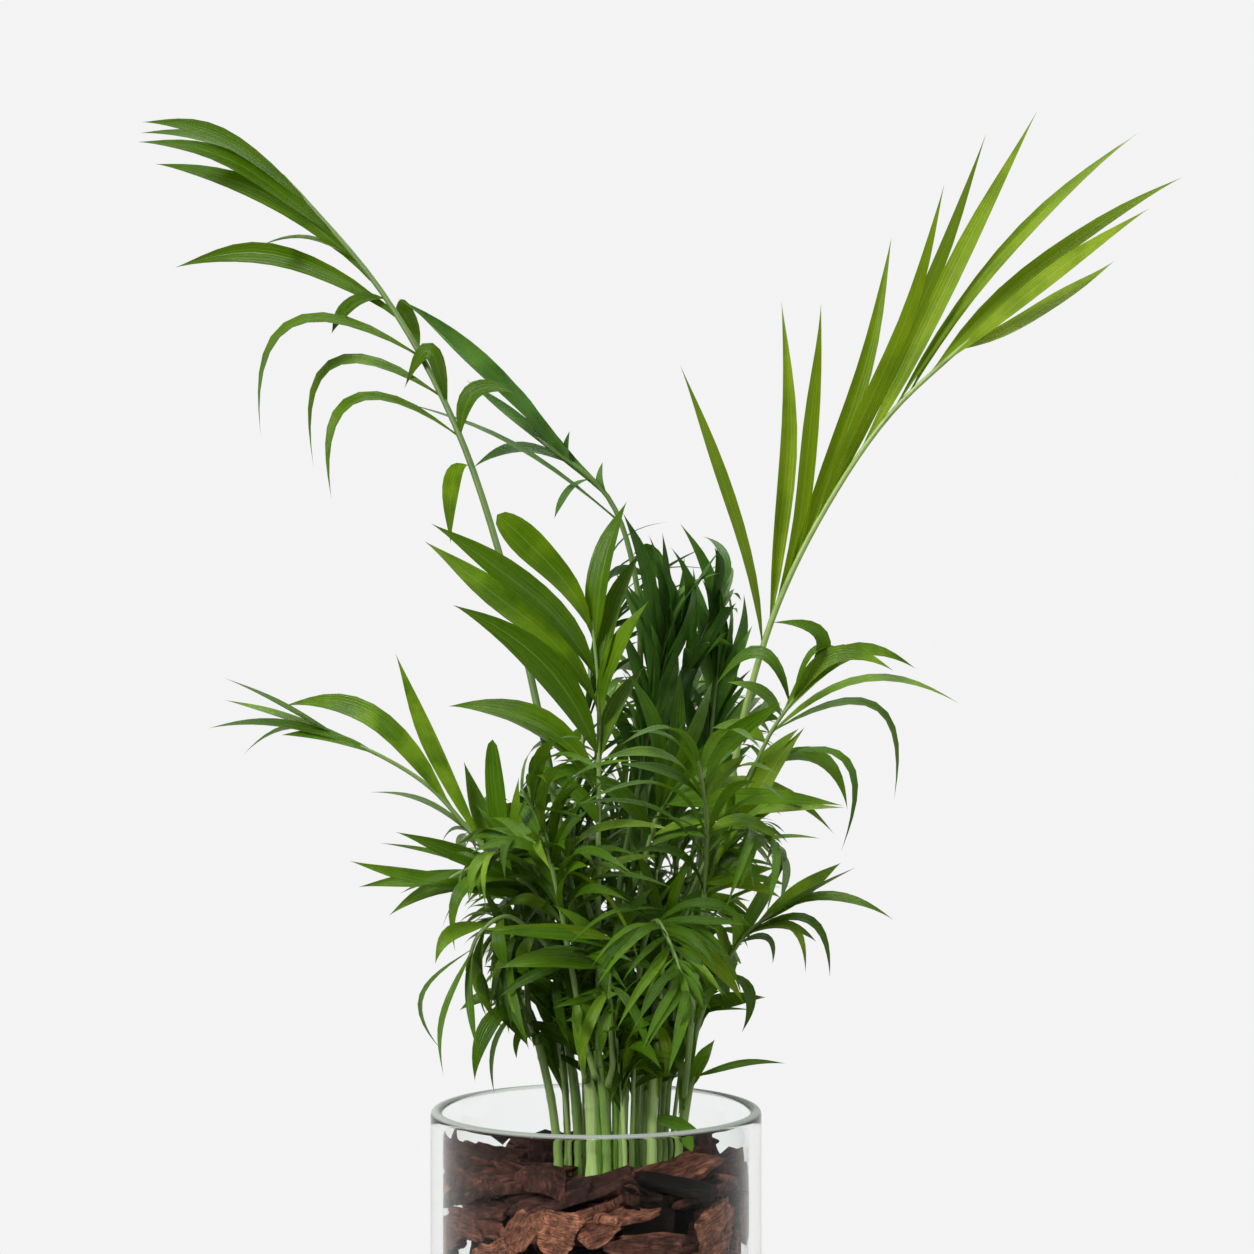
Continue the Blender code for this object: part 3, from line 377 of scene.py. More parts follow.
barkLook = {
    "reach": 69.3,  # no chip comes nearer the glass than this
    "floor": 10.6,
    "sideChips": 240,
    "topChips": 120,
    "sideHeights": (12, 163),
    "sideDepths": (0.0, 5.0, 11.0),  # how far in from the glass, and how often
    "sideShares": (0.5, 0.3, 0.2),
    "topRadius": 64,
    "topHeight": 163,
    "shownAbove": 124,  # from here up in front lie the chips that the photograph shows
    "slab": (21.0, 12.0, 2.6),  # half length, half breadth and half thickness
    # each ring's reach and its lift, from the middle of a chip's underside to the middle of its top
    "rings": ((0, 0.6, 0.97, 1, 0.92, 0.55, 0), (-1, -1, -0.8, 0.1, 0.9, 1, 1)),
    "shownRings": (
        (0, 0.3, 0.6, 0.85, 0.97, 1, 1, 0.96, 0.88, 0.72, 0.5, 0.25, 0),
        (-1, -1, -1, -0.95, -0.8, -0.3, 0.3, 0.75, 0.95, 1, 1, 1, 1),
    ),
    # by a chip's tone: near-black painted shade, its own dark and brown, and a painted lit brown
    "shadeBlack": "0b0402",
    "dark": "2b140c",
    "brown": "6a3d2e",
    "lit": "a86c50",
    "shownChips": (
        # seen x and z, depth, turns about x, y and z, half length, breadth and thickness, tone, which paints
        # each chip lit or shaded as well as its own brown
        (-17.3, 143.6, -67, 87, 12, -10, 10.5, 9.5, 2.2, 0.95),
        (-33.0, 144.5, -63, 80, -58, -25, 12, 6.5, 2.0, 0.78),
        (0.5, 148.0, -66, 74, -22, 4, 12, 8, 2.2, 0.72),
        (53.0, 145.0, -45, 86, -18, 46, 11.5, 10.5, 2.3, 0.92),
        (27.0, 167.0, -38, 40, -27, 4, 25, 8.5, 2.6, 0.66),
        (-62.0, 180.0, -18, 22, 10, -40, 9, 6, 3.6, 0.42),
        (-47.0, 178.5, -33, 14, 8, -20, 14, 8, 2.4, 0.3),
        (-52.5, 171.0, -41, 24, 12, -38, 16, 8, 2.1, 0.36),
        (-53.5, 163.0, -43, 30, -14, -42, 14, 7, 2.4, 0.24),
        (-48.0, 155.0, -46, 52, -6, -38, 13, 6, 2.0, 0.38),
        (-34.5, 169.0, -47, 34, 15, -10, 14, 8, 2.0, 0.46),
        (-30.0, 158.0, -58, 48, -20, -20, 12, 6, 2.2, 0.3),
        (24.5, 137.0, -65, 72, 4, 12, 18, 6, 2.6, 0.6),
        (-46.0, 133.0, -56, 84, -12, -34, 11, 7, 2.2, 0.8),
        (50.0, 126.0, -50, 82, 20, 40, 12, 8, 2.2, 0.7),
        (-52.0, 146.5, -46, 62, 6, -40, 14, 6, 2.4, 0.52),
        (-69.0, 143.0, -20, 80, 12, -66, 9, 8, 2.4, 0.62),
        (56.0, 172.5, -20, 20, -10, 40, 10, 7, 4.0, 0.3),
        (42.0, 181.0, 12, 10, -8, 20, 12, 8, 3.0, 0.36),
        (-16.0, 178.0, 22, 6, 5, 10, 14, 8, 3.0, 0.26),
        (-66.0, 162.0, -16, 82, -12, -70, 9, 7, 2.4, 0.34),
        (-62.0, 146.0, -26, 84, 0, -62, 9, 8, 2.6, 0.5),
        (-60.0, 176.0, -24, 30, 10, -50, 8, 5, 1.8, 0.4),
        (-56.0, 161.0, -40, 40, -14, -40, 9, 5, 1.6, 0.2),
        (-44.0, 166.0, -50, 30, 10, -25, 10, 5, 1.6, 0.6),
        (-38.0, 174.0, -42, 24, 8, -10, 9, 5, 1.5, 0.2),
        (-67.0, 128.0, -16, 80, 10, -70, 10, 8, 2.4, 0.5),
        (-62.0, 171.0, -24, 70, 8, -56, 8, 6, 2.4, 0.3),
        (65.0, 152.0, -24, 80, 6, 66, 10, 8, 2.4, 0.46),
        (64.0, 166.0, -12, 60, -30, 60, 10, 6, 3.0, 0.4),
    ),
}


def barkMaterial():
    # fibres, flakes and pits darken a brown that is picked by each chip's tone, and raise it in relief; the
    # tone runs from near-black painted shade to a painted lit brown
    look = barkLook
    made, tree, shader = newMaterial("bark_surface")
    shader.inputs["Specular IOR Level"].default_value = 0.2
    tone, place, chip = readings(tree)
    # the fibres run along each chip, so its own map is squeezed lengthwise
    squeezed = stretched(tree, chip, (1.0, 8.0, 1.0))
    fibres = noise(tree, squeezed, 2.4, 7.0, {"Roughness": 0.72})
    flakes = noise(tree, chip, 2.6, 5.0, {"Roughness": 0.7, "Distortion": 0.6})
    pits = noise(tree, place, 260.0, 5.0, {"Roughness": 0.65})
    colour = tint(look["shadeBlack"])
    # painted shade at the dark end of the tone, painted light at the lit end
    for low, high, shade in ((0.0, 0.22, "dark"), (0.22, 0.6, "brown"), (0.6, 1.0, "lit")):
        colour = blendColours(tree, spread(tree, tone, low, high), colour, tint(look[shade]))
    for pattern, low, high, dim, bright in (
        (flakes, 0.38, 0.6, 0.36, 1.3), (fibres, 0.38, 0.6, 0.3, 1.4), (pits, 0.36, 0.6, 0.6, 1.1),
    ):
        colour = blendColours(tree, 1.0, colour, spread(tree, pattern, low, high, dim, bright), "MULTIPLY")
    tree.links.new(colour, shader.inputs["Base Color"])
    tree.links.new(spread(tree, pits, 0.3, 0.7, 0.95, 0.65), shader.inputs["Roughness"])
    rough = calc(tree, "ADD", calc(tree, "MULTIPLY", fibres, 1.6), calc(tree, "MULTIPLY", flakes, 1.2))
    rough = calc(tree, "ADD", rough, calc(tree, "MULTIPLY", pits, 0.5))
    bumped(tree, shader, rough, 1.0, 0.003)
    return made


def turned(angles):
    # one turning matrix a chip, about X, then Y, then Z
    (cx, cy, cz), (sx, sy, sz) = np.cos(angles).T, np.sin(angles).T
    return np.stack([
        np.stack([cy * cz, sx * sy * cz - cx * sz, cx * sy * cz + sx * sz], -1),
        np.stack([cy * sz, sx * sy * sz + cx * cz, cx * sy * sz - sx * cz], -1),
        np.stack([-sy, sx * cy, cx * cy], -1),
    ], 1)


def chance(draw, low, high, shape, columns):
    # random numbers round each chip, with straight steps between them where the columns are closer
    knots = max(12, columns // 2)
    drawn = draw.uniform(low, high, (*shape, knots))
    place = np.arange(columns) * knots / columns
    left = place.astype(int)
    share = place - left
    return drawn[..., left] * (1 - share) + drawn[..., (left + 1) % knots] * share


def chipGrids(places, angles, sizes, tones, draw, columns, shrink, lift):
    # u runs round a chip, and each row of shrink and lift is a ring from the middle of its underside over
    # its broken edge to the middle of its top. A ring is a superellipse of power 0.7 whose reach is ragged
    # with u; the chip is bowed lengthwise by a parabola and ridged along its length by sines
    count = len(places)
    u = np.linspace(0, 2 * np.pi, columns, endpoint=False)[None, None, :]
    shrink, lift = np.array(shrink)[None, :, None], np.array(lift)[None, :, None]
    phase = draw.uniform(0, 2 * np.pi, (6, count, 1, 1))
    ragged = 1 + 0.12 * np.sin(2 * u + phase[0]) + 0.09 * np.sin(3 * u + phase[1])
    ragged = ragged + 0.06 * np.sin(7 * u + phase[2])
    ragged = ragged + chance(draw, -0.12, 0.09, (count, 1), columns)
    torn = chance(draw, 0.9, 1.06, (count, shrink.shape[1]), columns)
    x = np.sign(np.cos(u)) * np.abs(np.cos(u)) ** 0.7 * shrink * ragged * torn
    y = np.sign(np.sin(u)) * np.abs(np.sin(u)) ** 0.7 * shrink * ragged * torn
    ridges = 0.3 * np.sin(5 * y + np.sin(2 * x + phase[3])) + 0.28 * np.sin(11 * y + 2 * x + phase[4])
    z = lift + ridges + 0.7 * np.sin(phase[5]) * (x**2 - 0.3)
    local = np.stack([x, y, z], -1) * sizes[:, None, None, :]
    points = np.einsum("cij,crsj->crsi", turned(angles), local) + places[:, None, None, :]
    reach = np.linalg.norm(points[..., :2], axis=-1, keepdims=True)
    points[..., :2] *= np.minimum(1.0, barkLook["reach"] / np.maximum(reach, 1e-6))
    points[..., 2] = np.maximum(points[..., 2], barkLook["floor"])
    longways = x * sizes[:, None, None, :1] / 12 + phase[0]
    crossways = y * sizes[:, None, None, 1:2] / 12 + phase[1]
    # painted highlight: the tone is raised at random along each chip's upper broken edge, as if the edge
    # caught the light
    edge = 0.3 * np.exp(-((lift - 0.75) / 0.3) ** 2) * (shrink > 0.8)
    tones = np.clip(tones[:, None, None] + edge * draw.uniform(0.2, 1.0, (count, 1, columns)), 0, 1)
    return points, np.stack([longways, crossways], -1), tones


def makeBark():
    look = barkLook
    draw = np.random.default_rng(5)
    sides, tops, wide, top = look["sideChips"], look["topChips"], look["topRadius"], look["topHeight"]
    angle = draw.uniform(0, 2 * np.pi, sides)
    depth = draw.choice(look["sideDepths"], sides, p=look["sideShares"])
    height = draw.uniform(*look["sideHeights"], sides)
    shown = (np.sin(angle) < -0.3) & (height > look["shownAbove"])
    reach = look["reach"] - 3.0 - depth - 9 * shown
    sidePlaces = np.stack([reach * np.cos(angle), reach * np.sin(angle), height], -1)
    flat = draw.random(sides) < 0.4  # lying level and seen edge on; the others lean on the glass
    lean = np.where(flat, draw.uniform(-0.35, 0.35, sides), np.pi / 2 + draw.uniform(-0.4, 0.4, sides))
    sideAngles = np.stack([lean, draw.uniform(-0.6, 0.6, sides), angle + np.pi / 2], -1)
    ring = wide * np.sqrt(draw.uniform(0.0, 1.0, tops))
    around = draw.uniform(0, 2 * np.pi, tops)
    # banked up along the glass, and more on the left
    heap = top + 9 * (ring / wide) ** 3 + 5 * (ring / wide) * (np.cos(around) < 0)
    heap = heap + draw.uniform(-4, 4, tops)
    topPlaces = np.stack([ring * np.cos(around), ring * np.sin(around), heap], -1)
    topAngles = np.stack([
        draw.uniform(-0.45, 0.45, tops), draw.uniform(-0.3, 0.3, tops), draw.uniform(0, 2 * np.pi, tops),
    ], -1)
    places = np.concatenate([sidePlaces, topPlaces])
    angles = np.concatenate([sideAngles, topAngles])
    sizes = np.array(look["slab"]) * draw.uniform(0.55, 1.2, (len(places), 3))
    # tones differ at random, and reach the painted shade and painted lit ends of the bark's browns
    tones = np.clip(draw.normal(0.4, 0.28, len(places)), 0.0, 1)
    material = barkMaterial()
    dress = dict(material=material, slot="bark", wrap=True, extra=("bark_chips",))
    grids, maps, tones = chipGrids(places, angles, sizes, tones, draw, 12, *look["rings"])
    gridPiece("bark", grids, maps=maps, tones=tones, crease=34, **dress)

    rows = np.array(look["shownChips"])
    places = asArray(seen(x, z, depth) for x, z, depth in rows[:, :3])
    grids, maps, tones = chipGrids(
        places, np.radians(rows[:, 3:6]), rows[:, 6:9], rows[:, 9], draw, 44, *look["shownRings"],
    )
    gridPiece("bark_front", grids, maps=maps, tones=tones, crease=40, **dress)

    # the imported middle that fills the gaps between the chips, a turned profile whose tone of 0 paints it
    # near-black as painted shade in the gaps
    radii = np.array([0, 46, 53, 53, 46, 34, 0.0])
    core = turnedProfile(radii, np.array([11, 11, 14, 154, 160, 163, 164.0]), 96)
    coreMaps = np.stack([core[..., 0] / 20, core[..., 2] / 20], -1)
    gridPiece("bark_middle", core, maps=coreMaps, tones=0.0, **dress)
    print("bark:", len(grids) + sides + tops, "chips round a packed middle")


# the plant's measures, in millimetres

blunt = 1.6  # the swell of a blunt leaflet, which is broadest past its middle

stemLook = {
    "bed": 172.0,
    "stations": 7,
    "flare": 1.2,
    "taper": 1.12,
    "sides": 28,
    "buried": 20,  # how far the feet go down into the bark
    "scarSpacing": (13, 19),
    "scarSwell": 0.13,
    "tones": {
        "stem_left": 0.4, "stem_left_back": 0.1, "stem_left_middle": 0.2, "stem_thick": 0.9,
        "stem_front": 0.15, "stem_middle": 0.4, "stem_middle_back": 0.05, "stem_middle_right": 0.2,
        "stem_front_right": 0.65, "stem_right": 0.5, "stem_far_right": 0.3, "stem_back": 0.1,
        "stem_back_right": 0.1, "stem_back_left": 0.1,
    },
}
frondLook = {
    "gap": 0.3,  # between a stem and the start of a stalk
    "sheath": 1.5,  # the stalk's radius at its start, and at its tip
    "ribTip": 0.75,
    "stations": 8,
    "sink": 0.25,
    "neck": 0.55,  # half the width of a leaflet's foot
    "pointed": 0.8,  # the swell of a pointed leaflet, which is broadest just before its middle
    "rootSpacing": 1.7,
    "pushes": (0, 5, -5, 10, -10, 16, -16, 23, -23),  # tries at a measured leaflet's depth
    "fold": 0.42,
    "hug": 13.0,
    "between": 12,  # finer leaflets stand between neighbours up to this many sixtieths of the rib apart
    "found": 0.05,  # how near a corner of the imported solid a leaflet's tip lies, if it was taken
    "strayReach": 5,  # how far off its measured root a single leaflet may start
    "rows": 15,
    "across": 5,
}
tierLook = {
    "lead": 9,  # straight on from the stem before the arch
    "setBack": 0.12,
    "leafy": (0.42, 0.57),  # from which share of the rib on, and over how much of it
    "opening": (66, 44, 7),  # degrees at the first pair, how much less at the last, and the chance
    "lengths": (0.72, 0.36, 0.15, 0.75),  # least, how much more, and the stretch of half a sine
    "widths": (7.5, 2.5),  # the least, and how much more by chance
    "droops": (0.05, 0.3),
    "turns": (66, 114),
    "shorter": (1.0, 0.86, 0.72),
    "twists": (0.0, 0.2, -0.2, 0.4, -0.4),
    "fillFrom": 0.2,  # the finer leaflets start at this share of the rib
    "fillStep": 5,
    "fillLength": 0.85,
    "fillWidths": (6.5, 11.5),
    "inner": 0.42,  # how much painted shade darkens the leaflets in the middle of the clump
    # the same painted shade, for the crown's fronds
    "crownPaintedShade": 0.3,
}
crownLook = {
    "clump": (8.0, 2.0),
    "centre": (10.0, 338.0),
    "half": (88.0, 134.0),
    "levels": (0.93, 0.74, 0.58, 0.42),
    "levelDrops": (0.0, 0.05, 0.1, 0.16, 0.22),
    "inside": 42,  # painted shade: leaves are darker within about this far of the clump's middle
    "outline": (
        # the leafy mass as it is seen, x and z: past it the sky shows, but for the fronds measured one by one
        (-3, 424), (1, 468), (16, 478), (32, 472), (56, 456), (67, 432), (62, 402), (76, 388), (86, 378),
        (80, 354), (94, 346), (84, 330), (90, 318), (80, 304), (92, 298), (76, 284), (64, 262), (62, 250),
        (48, 240), (44, 224), (36, 212), (22, 206), (2, 214), (-18, 226), (-38, 226), (-52, 238), (-50, 262),
        (-66, 276), (-60, 290), (-68, 304), (-66, 318), (-54, 326), (-42, 338), (-32, 346), (-22, 352),
        (-16, 366), (-14, 384), (-8, 398),
    ),
}
# the ways round its neighbours that a frond may have gone, as in the source: how far a measured rib bows
# back, and how far a tier's rib turns and bows aside
shownWays = [(shift,) for shift in (0, 4, -4, 8, -8, 13, -13, 18, -18, 24, -24)]
tierWays = list(itertools.product((0, 5, -5, 10, -10, 16, -16, 23, -23, 32, -32), (0, 6, -6, 12, -12)))

# stem: foot x and y, tip x, y and z, radius at the tip
stems = {
    "stem_left": (-17, -7, -29, -10, 243, 1.8),
    "stem_left_back": (-13, 9, -19, 14, 262, 1.5),
    "stem_left_middle": (-8, -3, -17, -1, 256, 1.6),
    "stem_thick": (-1, -12, -3, -14, 221, 2.9),
    "stem_front": (5, -25, 2, -34, 226, 1.7),
    "stem_middle": (12, -9, 15, -12, 246, 1.9),
    "stem_middle_back": (5, 6, 6, 9, 252, 1.5),
    "stem_middle_right": (18, 5, 20, 7, 258, 1.7),
    "stem_front_right": (25, -14, 27, -19, 252, 2.1),
    "stem_right": (30, 1, 39, 3, 280, 2.0),
    "stem_far_right": (37, -9, 41, -13, 208, 1.6),
    "stem_back": (9, 23, 8, 33, 250, 1.7),
    "stem_back_right": (25, 18, 34, 28, 248, 1.7),
    "stem_back_left": (-7, 21, -16, 31, 240, 1.6),
}

# rib: x, z and depth. leaves: where the root is seen, by the axis under "read", tip x and z, rise, width as
# it is seen, and the swell of a blunt one
shownFronds = (
    dict(
        name="frond_upper_right", stem="stem_right", level=1.0, read="z", width=9.5, spread=0.12,
        rib=((44, 300, 3), (57, 330, 0), (76, 412, -8), (111, 484, -14), (141, 523, -18), (170, 549, -20)),
        leaves=(
            (414, 38, 537, 0.02, 6), (423, 84, 566, 0.03, 8), (427, 102, 565, 0.03, 8),
            (443, 134, 595, 0.04, 9), (468, 158, 619, 0.03, 8), (484, 177, 642, 0.03, 8),
            (500, 200, 652, 0.02, 9), (520, 241, 639, 0.07, 6), (528, 247, 643, 0.06, 6),
            (536, 266, 622, 0.06, 8), (542, 251, 608, 0.02, 8), (548, 235, 584, -0.04, 7),
        ),
    ),
    dict(
        name="frond_upper_left", stem="stem_thick", level=1.0, read="z", width=11, spread=0.3,
        rib=(
            (-8, 265, -20), (-19, 344, -26), (-44, 452, -8), (-75, 535, 8), (-105, 580, 20),
            (-142, 623, 30),
        ),
        leaves=(
            (621, -206, 647, 0.12, 7), (617, -207, 642, 0.1, 5), (610, -208, 638, 0.1, 9),
            (596, -200, 628, 0.07, 10), (591, -154, 590, 0.12, 2.5), (578, -191, 581, 0.09, 11),
            (572, -120, 551, 0.1, 7), (570, -80, 543, 0.35, 9), (550, -152, 504, 0.42, 6),
            (532, -128, 490, 0.46, 6), (517, -120, 476, 0.44, 6), (522, -87, 526, 1.1, 8),
            (510, -37, 524, 0.3, 9), (506, -66, 456, 0.03, 8),
        ),
    ),
    dict(
        name="frond_upper_middle", stem="stem_middle_right", level=1.0, read="z", width=9, spread=0.2,
        rib=((22, 330, 12), (20, 400, 16), (17, 448, 18), (6, 476, 20), (-8, 489, 22), (-27, 504, 24)),
        leaves=(
            (503, -90, 567, 0.1, 9), (498, -86, 565, 0.04, 7), (500, -46, 537, 0.05, 7),
            (491, -59, 530, 0.02, 5.5), (486, -92, 521, 0.04, 2), (497, -56, 490, 0.15, 5),
            (486, -19, 467, 0.05, 4.5), (480, 3, 493, 0.05, 4), (492, -12, 507, 0.03, 3),
            (466, 36, 420, 0.2, 9),
        ),
    ),
    dict(
        name="frond_centre_broad", stem="stem_front", level=1.0, read="z", width=14, spread=0.22,
        rib=((1, 270, -38), (1, 325, -34), (1, 391, -28), (-2, 423, -26)),
        leaves=(
            (421, -45, 469, 0.05, 14, blunt), (422, 14, 475, 0.1, 11), (405, -75, 465, 0.05, 12),
            (392, -78, 457, 0.03, 12), (369, -65, 428, 0.1, 14), (355, -67, 382, 0.14, 11),
            (348, -55, 381, 0.08, 2.5), (398, 20, 452, 0.08, 8), (380, 24, 430, 0.08, 7),
            (362, 22, 400, 0.08, 7),
        ),
    ),
    dict(
        name="frond_right_arching", stem="stem_front_right", level=1.0, read="z", width=9, spread=0.35,
        rib=((40, 290, -24), (55, 322, -28), (65, 340, -30), (83, 377, -34), (95, 392, -36)),
        leaves=(
            (391, 79, 420, 0.5, 8), (386, 54, 391, 0.45, 7), (380, 59, 393, 0.1, 7),
            (390, 114, 406, 0.5, 4), (391, 135, 398, 0.3, 9), (389, 145, 399, 0.28, 8),
            (383, 165, 383, 0.18, 4.5), (373, 135, 339, 0.45, 4), (360, 111, 316, 0.5, 3.5),
            (354, 114, 335, 0.34, 7), (346, 92, 372, 0.03, 7), (368, 52, 372, 0.12, 7),
        ),
    ),
    dict(
        name="frond_right_level", stem="stem_middle", level=1.0, read="z", width=10, spread=0.2,
        rib=((18, 285, -14), (25, 325, -18), (35, 345, -22)),
        leaves=(
            (331, 113, 336, 0.03, 8), (344, 84, 383, 0.02, 10), (341, 108, 324, 0.2, 7),
            (345, 53, 394, 0.35, 7), (338, 14, 398, 0.08, 8), (343, 38, 400, 0.05, 8),
            (326, -12, 352, 0.12, 8), (320, 62, 312, 0.3, 7),
        ),
    ),
    dict(
        name="frond_left_middle", stem="stem_left", level=1.0, read="x", width=10, spread=0.3,
        rib=((-31, 272, -8), (-38, 304, -6), (-57, 325, -4), (-75, 345, -2), (-106, 364, 2), (-123, 370, 4)),
        leaves=(
            (-122, -169, 395, 0.03, 2), (-120, -169, 385, 0.02, 4), (-117, -176, 372, 0.08, 4),
            (-112, -160, 360, 0.2, 2), (-104, -143, 369, 0.06, 4), (-75, -142, 382, 0.22, 11),
            (-60, -91, 406, 0.0, 8), (-59, -103, 343, 0.1, 3), (-57, -70, 320, 0.3, 2),
            (-42, -60, 357, 0.04, 9), (-37, -47, 367, 0.04, 9, blunt),
        ),
    ),
    dict(
        name="frond_left_low", stem="stem_left_middle", level=1.0, read="x", width=9, spread=0.3,
        rib=((-22, 278, -10), (-27, 297, -22), (-36, 304, -34)),
        leaves=(
            (-28, -91, 325, 0.04, 9), (-29, -98, 320, 0.05, 3), (-30, -112, 312, -0.04, 8),
            (-31, -108, 300, 0.05, 9), (-33, -89, 297, 0.12, 3), (-34, -94, 287, 0.12, 9),
            (-35, -64, 271, 0.4, 6), (-35, -70, 281, 0.3, 2), (-27, -35, 350, 0.08, 8),
            (-28, -55, 338, 0.1, 7),
        ),
    ),
    dict(
        name="frond_left_drooping", stem="stem_left_middle", level=0.82, read="x", width=8, spread=0.3,
        rib=((-19, 268, -28), (-36, 285, -40), (-50, 284, -46), (-59, 262, -50)),
        leaves=(
            (-52, -73, 265, 0.3, 8), (-58, -70, 226, 0.35, 2), (-58.5, -69, 214, 0.16, 3),
            (-58, -47, 240, -0.15, 7), (-57, -54, 226, 0.06, 5), (-54, -44, 239, 0.1, 6),
            (-44, -40, 262, 0.2, 7), (-30, -28, 256, 0.2, 7),
        ),
    ),
    dict(
        name="frond_left_lowest", stem="stem_left", level=0.88, read="x", width=9, spread=0.2,
        rib=((-33, 245, -22), (-37, 252, -28)),
        leaves=(
            (-36, -55, 212, 0.16, 9), (-35, -46, 206, 0.12, 3), (-34, -31, 228, 0.1, 6),
            (-36, -62, 244, 0.12, 7),
        ),
    ),
    dict(
        name="frond_right_low", stem="stem_far_right", level=1.0, read="z", width=8, spread=0.35,
        rib=((45, 233, -16), (50, 248, -18), (59, 266, -20), (71, 282, -22), (80, 288, -24)),
        leaves=(
            (287.5, 135, 285, 0.17, 5), (287, 111, 311, 0.02, 9), (286, 118, 309, 0.02, 2),
            (285, 98, 297, 0.02, 2), (286, 106, 259, 0.4, 4), (284, 100, 275, 0.16, 4),
            (282, 95, 261, 0.42, 4), (275, 80, 265, 0.45, 4), (268, 53, 286, 0.03, 6),
            (281, 82, 310, 0.03, 8), (264, 66, 234, 0.3, 5), (261, 57, 244, 0.1, 4),
            (277, 62, 291, 0.05, 6),
        ),
    ),
    dict(
        name="frond_right_short", stem="stem_right", level=0.5, read="z", width=8, spread=0.25,
        rib=((36, 238, -2), (38, 244, -4)),
        leaves=(
            (240, 77, 250, 0.03, 7), (242, 74, 247, 0.14, 3), (243, 45, 256, 0.1, 7),
            (243, 57, 262, 0.2, 5),
        ),
    ),
    dict(
        name="frond_right_lowest", stem="stem_far_right", level=0.62, read="z", width=9, spread=0.2,
        rib=((43, 208, -22), (45, 214, -25)),
        leaves=(
            (212, 54, 231, 0.12, 7), (213, 86, 220, 0.06, 3), (210, 30, 200, 0.3, 9),
            (209, 48, 190, 0.12, 8),
        ),
    ),
    dict(
        name="frond_centre_dark", stem="stem_middle_back", level=1.0, read="z", width=9, spread=0.25,
        rib=((12, 310, 4), (22, 360, 2), (30, 410, 0)),
        leaves=(
            (408, 12, 470, 0.05, 9), (409, 30, 461, 0.04, 5), (400, 57, 454, 0.3, 2),
            (404, 60, 449, 0.22, 2), (392, 8, 444, 0.05, 7), (385, 40, 450, 0.06, 8),
            (370, 10, 420, 0.06, 8), (365, 36, 415, 0.08, 8), (350, 0, 392, 0.06, 7),
            (345, 34, 380, 0.1, 8),
        ),
    ),
    dict(
        name="frond_centre_right", stem="stem_back_right", level=1.0, read="z", width=9, spread=0.25,
        rib=((42, 305, 26), (50, 352, 22), (55, 398, 20)),
        leaves=(
            (396, 38, 465, 0.12, 9), (388, 39, 449, 0.05, 7), (397, 56, 454, 0.02, 3),
            (392, 67, 433, 0.1, 7), (380, 71, 419, 0.04, 7), (375, 44, 430, 0.05, 8),
            (360, 76, 392, 0.06, 7), (352, 30, 402, 0.05, 8), (340, 72, 365, 0.1, 7),
        ),
    ),
    dict(
        name="frond_right_behind", stem="stem_back_right", level=0.8, read="z", width=9, spread=0.2,
        rib=((44, 280, 40), (54, 304, 46), (60, 320, 50)),
        leaves=(
            (319, 95, 373, 0.03, 8), (312, 79, 322, 0.05, 8), (316, 102, 322, 0.08, 4),
            (305, 74, 350, 0.04, 7), (300, 88, 300, 0.12, 7), (295, 40, 330, 0.1, 7),
        ),
    ),
    dict(
        name="frond_front_left", stem="stem_front", level=0.85, read="z", width=10, spread=0.25,
        rib=((6, 262, -48), (8, 276, -56)),
        leaves=(
            (274, -51, 279, 0.05, 8), (268, -39, 263, 0.12, 9), (272, 5, 249, 0.7, 8),
            (270, 26, 300, 0.12, 8), (266, -20, 292, 0.1, 8), (262, 28, 262, 0.2, 7),
        ),
    ),
    dict(
        name="frond_front_right", stem="stem_front_right", level=0.78, read="z", width=9, spread=0.25,
        rib=((30, 262, -34), (31, 290, -42)),
        leaves=(
            (287, 66, 250, 0.2, 6), (289, 6, 286, 0.1, 8), (286, -20, 302, 0.1, 4),
            (288, 62, 300, 0.15, 8), (280, 58, 282, 0.12, 7), (283, 16, 320, 0.08, 8),
            (276, 48, 322, 0.1, 8),
        ),
    ),
)

# title, how many, middle bearing and sweep to both sides in degrees, height and reach of the ribs' tips,
# arch, pairs of leaflets and their length
frondTiers = (
    ("frond_back_crown", 3, 95.0, 112.0, 436.0, 66.0, 16.0, 6, 70.0),
    ("frond_back_high", 4, 88.0, 72.0, 388.0, 128.0, 30.0, 6, 72.0),
    ("frond_front_high", 3, -85.0, 51.0, 372.0, 122.0, 30.0, 6, 68.0),
    ("frond_back_middle", 3, 94.0, 72.0, 318.0, 146.0, 44.0, 6, 66.0),
    ("frond_front_middle", 2, -88.0, 60.0, 308.0, 138.0, 44.0, 6, 62.0),
    ("frond_back_skirt", 2, 88.0, 68.0, 250.0, 126.0, 46.0, 5, 56.0),
    ("frond_front_skirt", 2, -104.0, 60.0, 250.0, 120.0, 46.0, 5, 52.0),
)


def through(points, steps):
    # places along a smooth curve through the points, closer where the points are
    ends = [points[0] * 2 - points[1]] + list(points) + [points[-1] * 2 - points[-2]]
    places = []
    for before, start, end, after in zip(ends, ends[1:], ends[2:], ends[3:]):
        for step in range(steps):
            t = step / steps
            places.append(0.5 * (
                2 * start + (end - before) * t + (2 * before - 5 * start + 4 * end - after) * t**2
                + (3 * start - before - 3 * end + after) * t**3
            ))
    return places + [points[-1]]


def evenly(places, count):
    # that many places, evenly spaced along a route
    lengths = [0.0]
    for start, end in zip(places, places[1:]):
        lengths.append(lengths[-1] + (end - start).length)
    spaced = []
    index = 0
    for step in range(count):
        wanted = lengths[-1] * step / (count - 1)
        while index < len(places) - 2 and lengths[index + 1] < wanted:
            index += 1
        span = lengths[index + 1] - lengths[index]
        spaced.append(places[index].lerp(places[index + 1], (wanted - lengths[index]) / span))
    return spaced


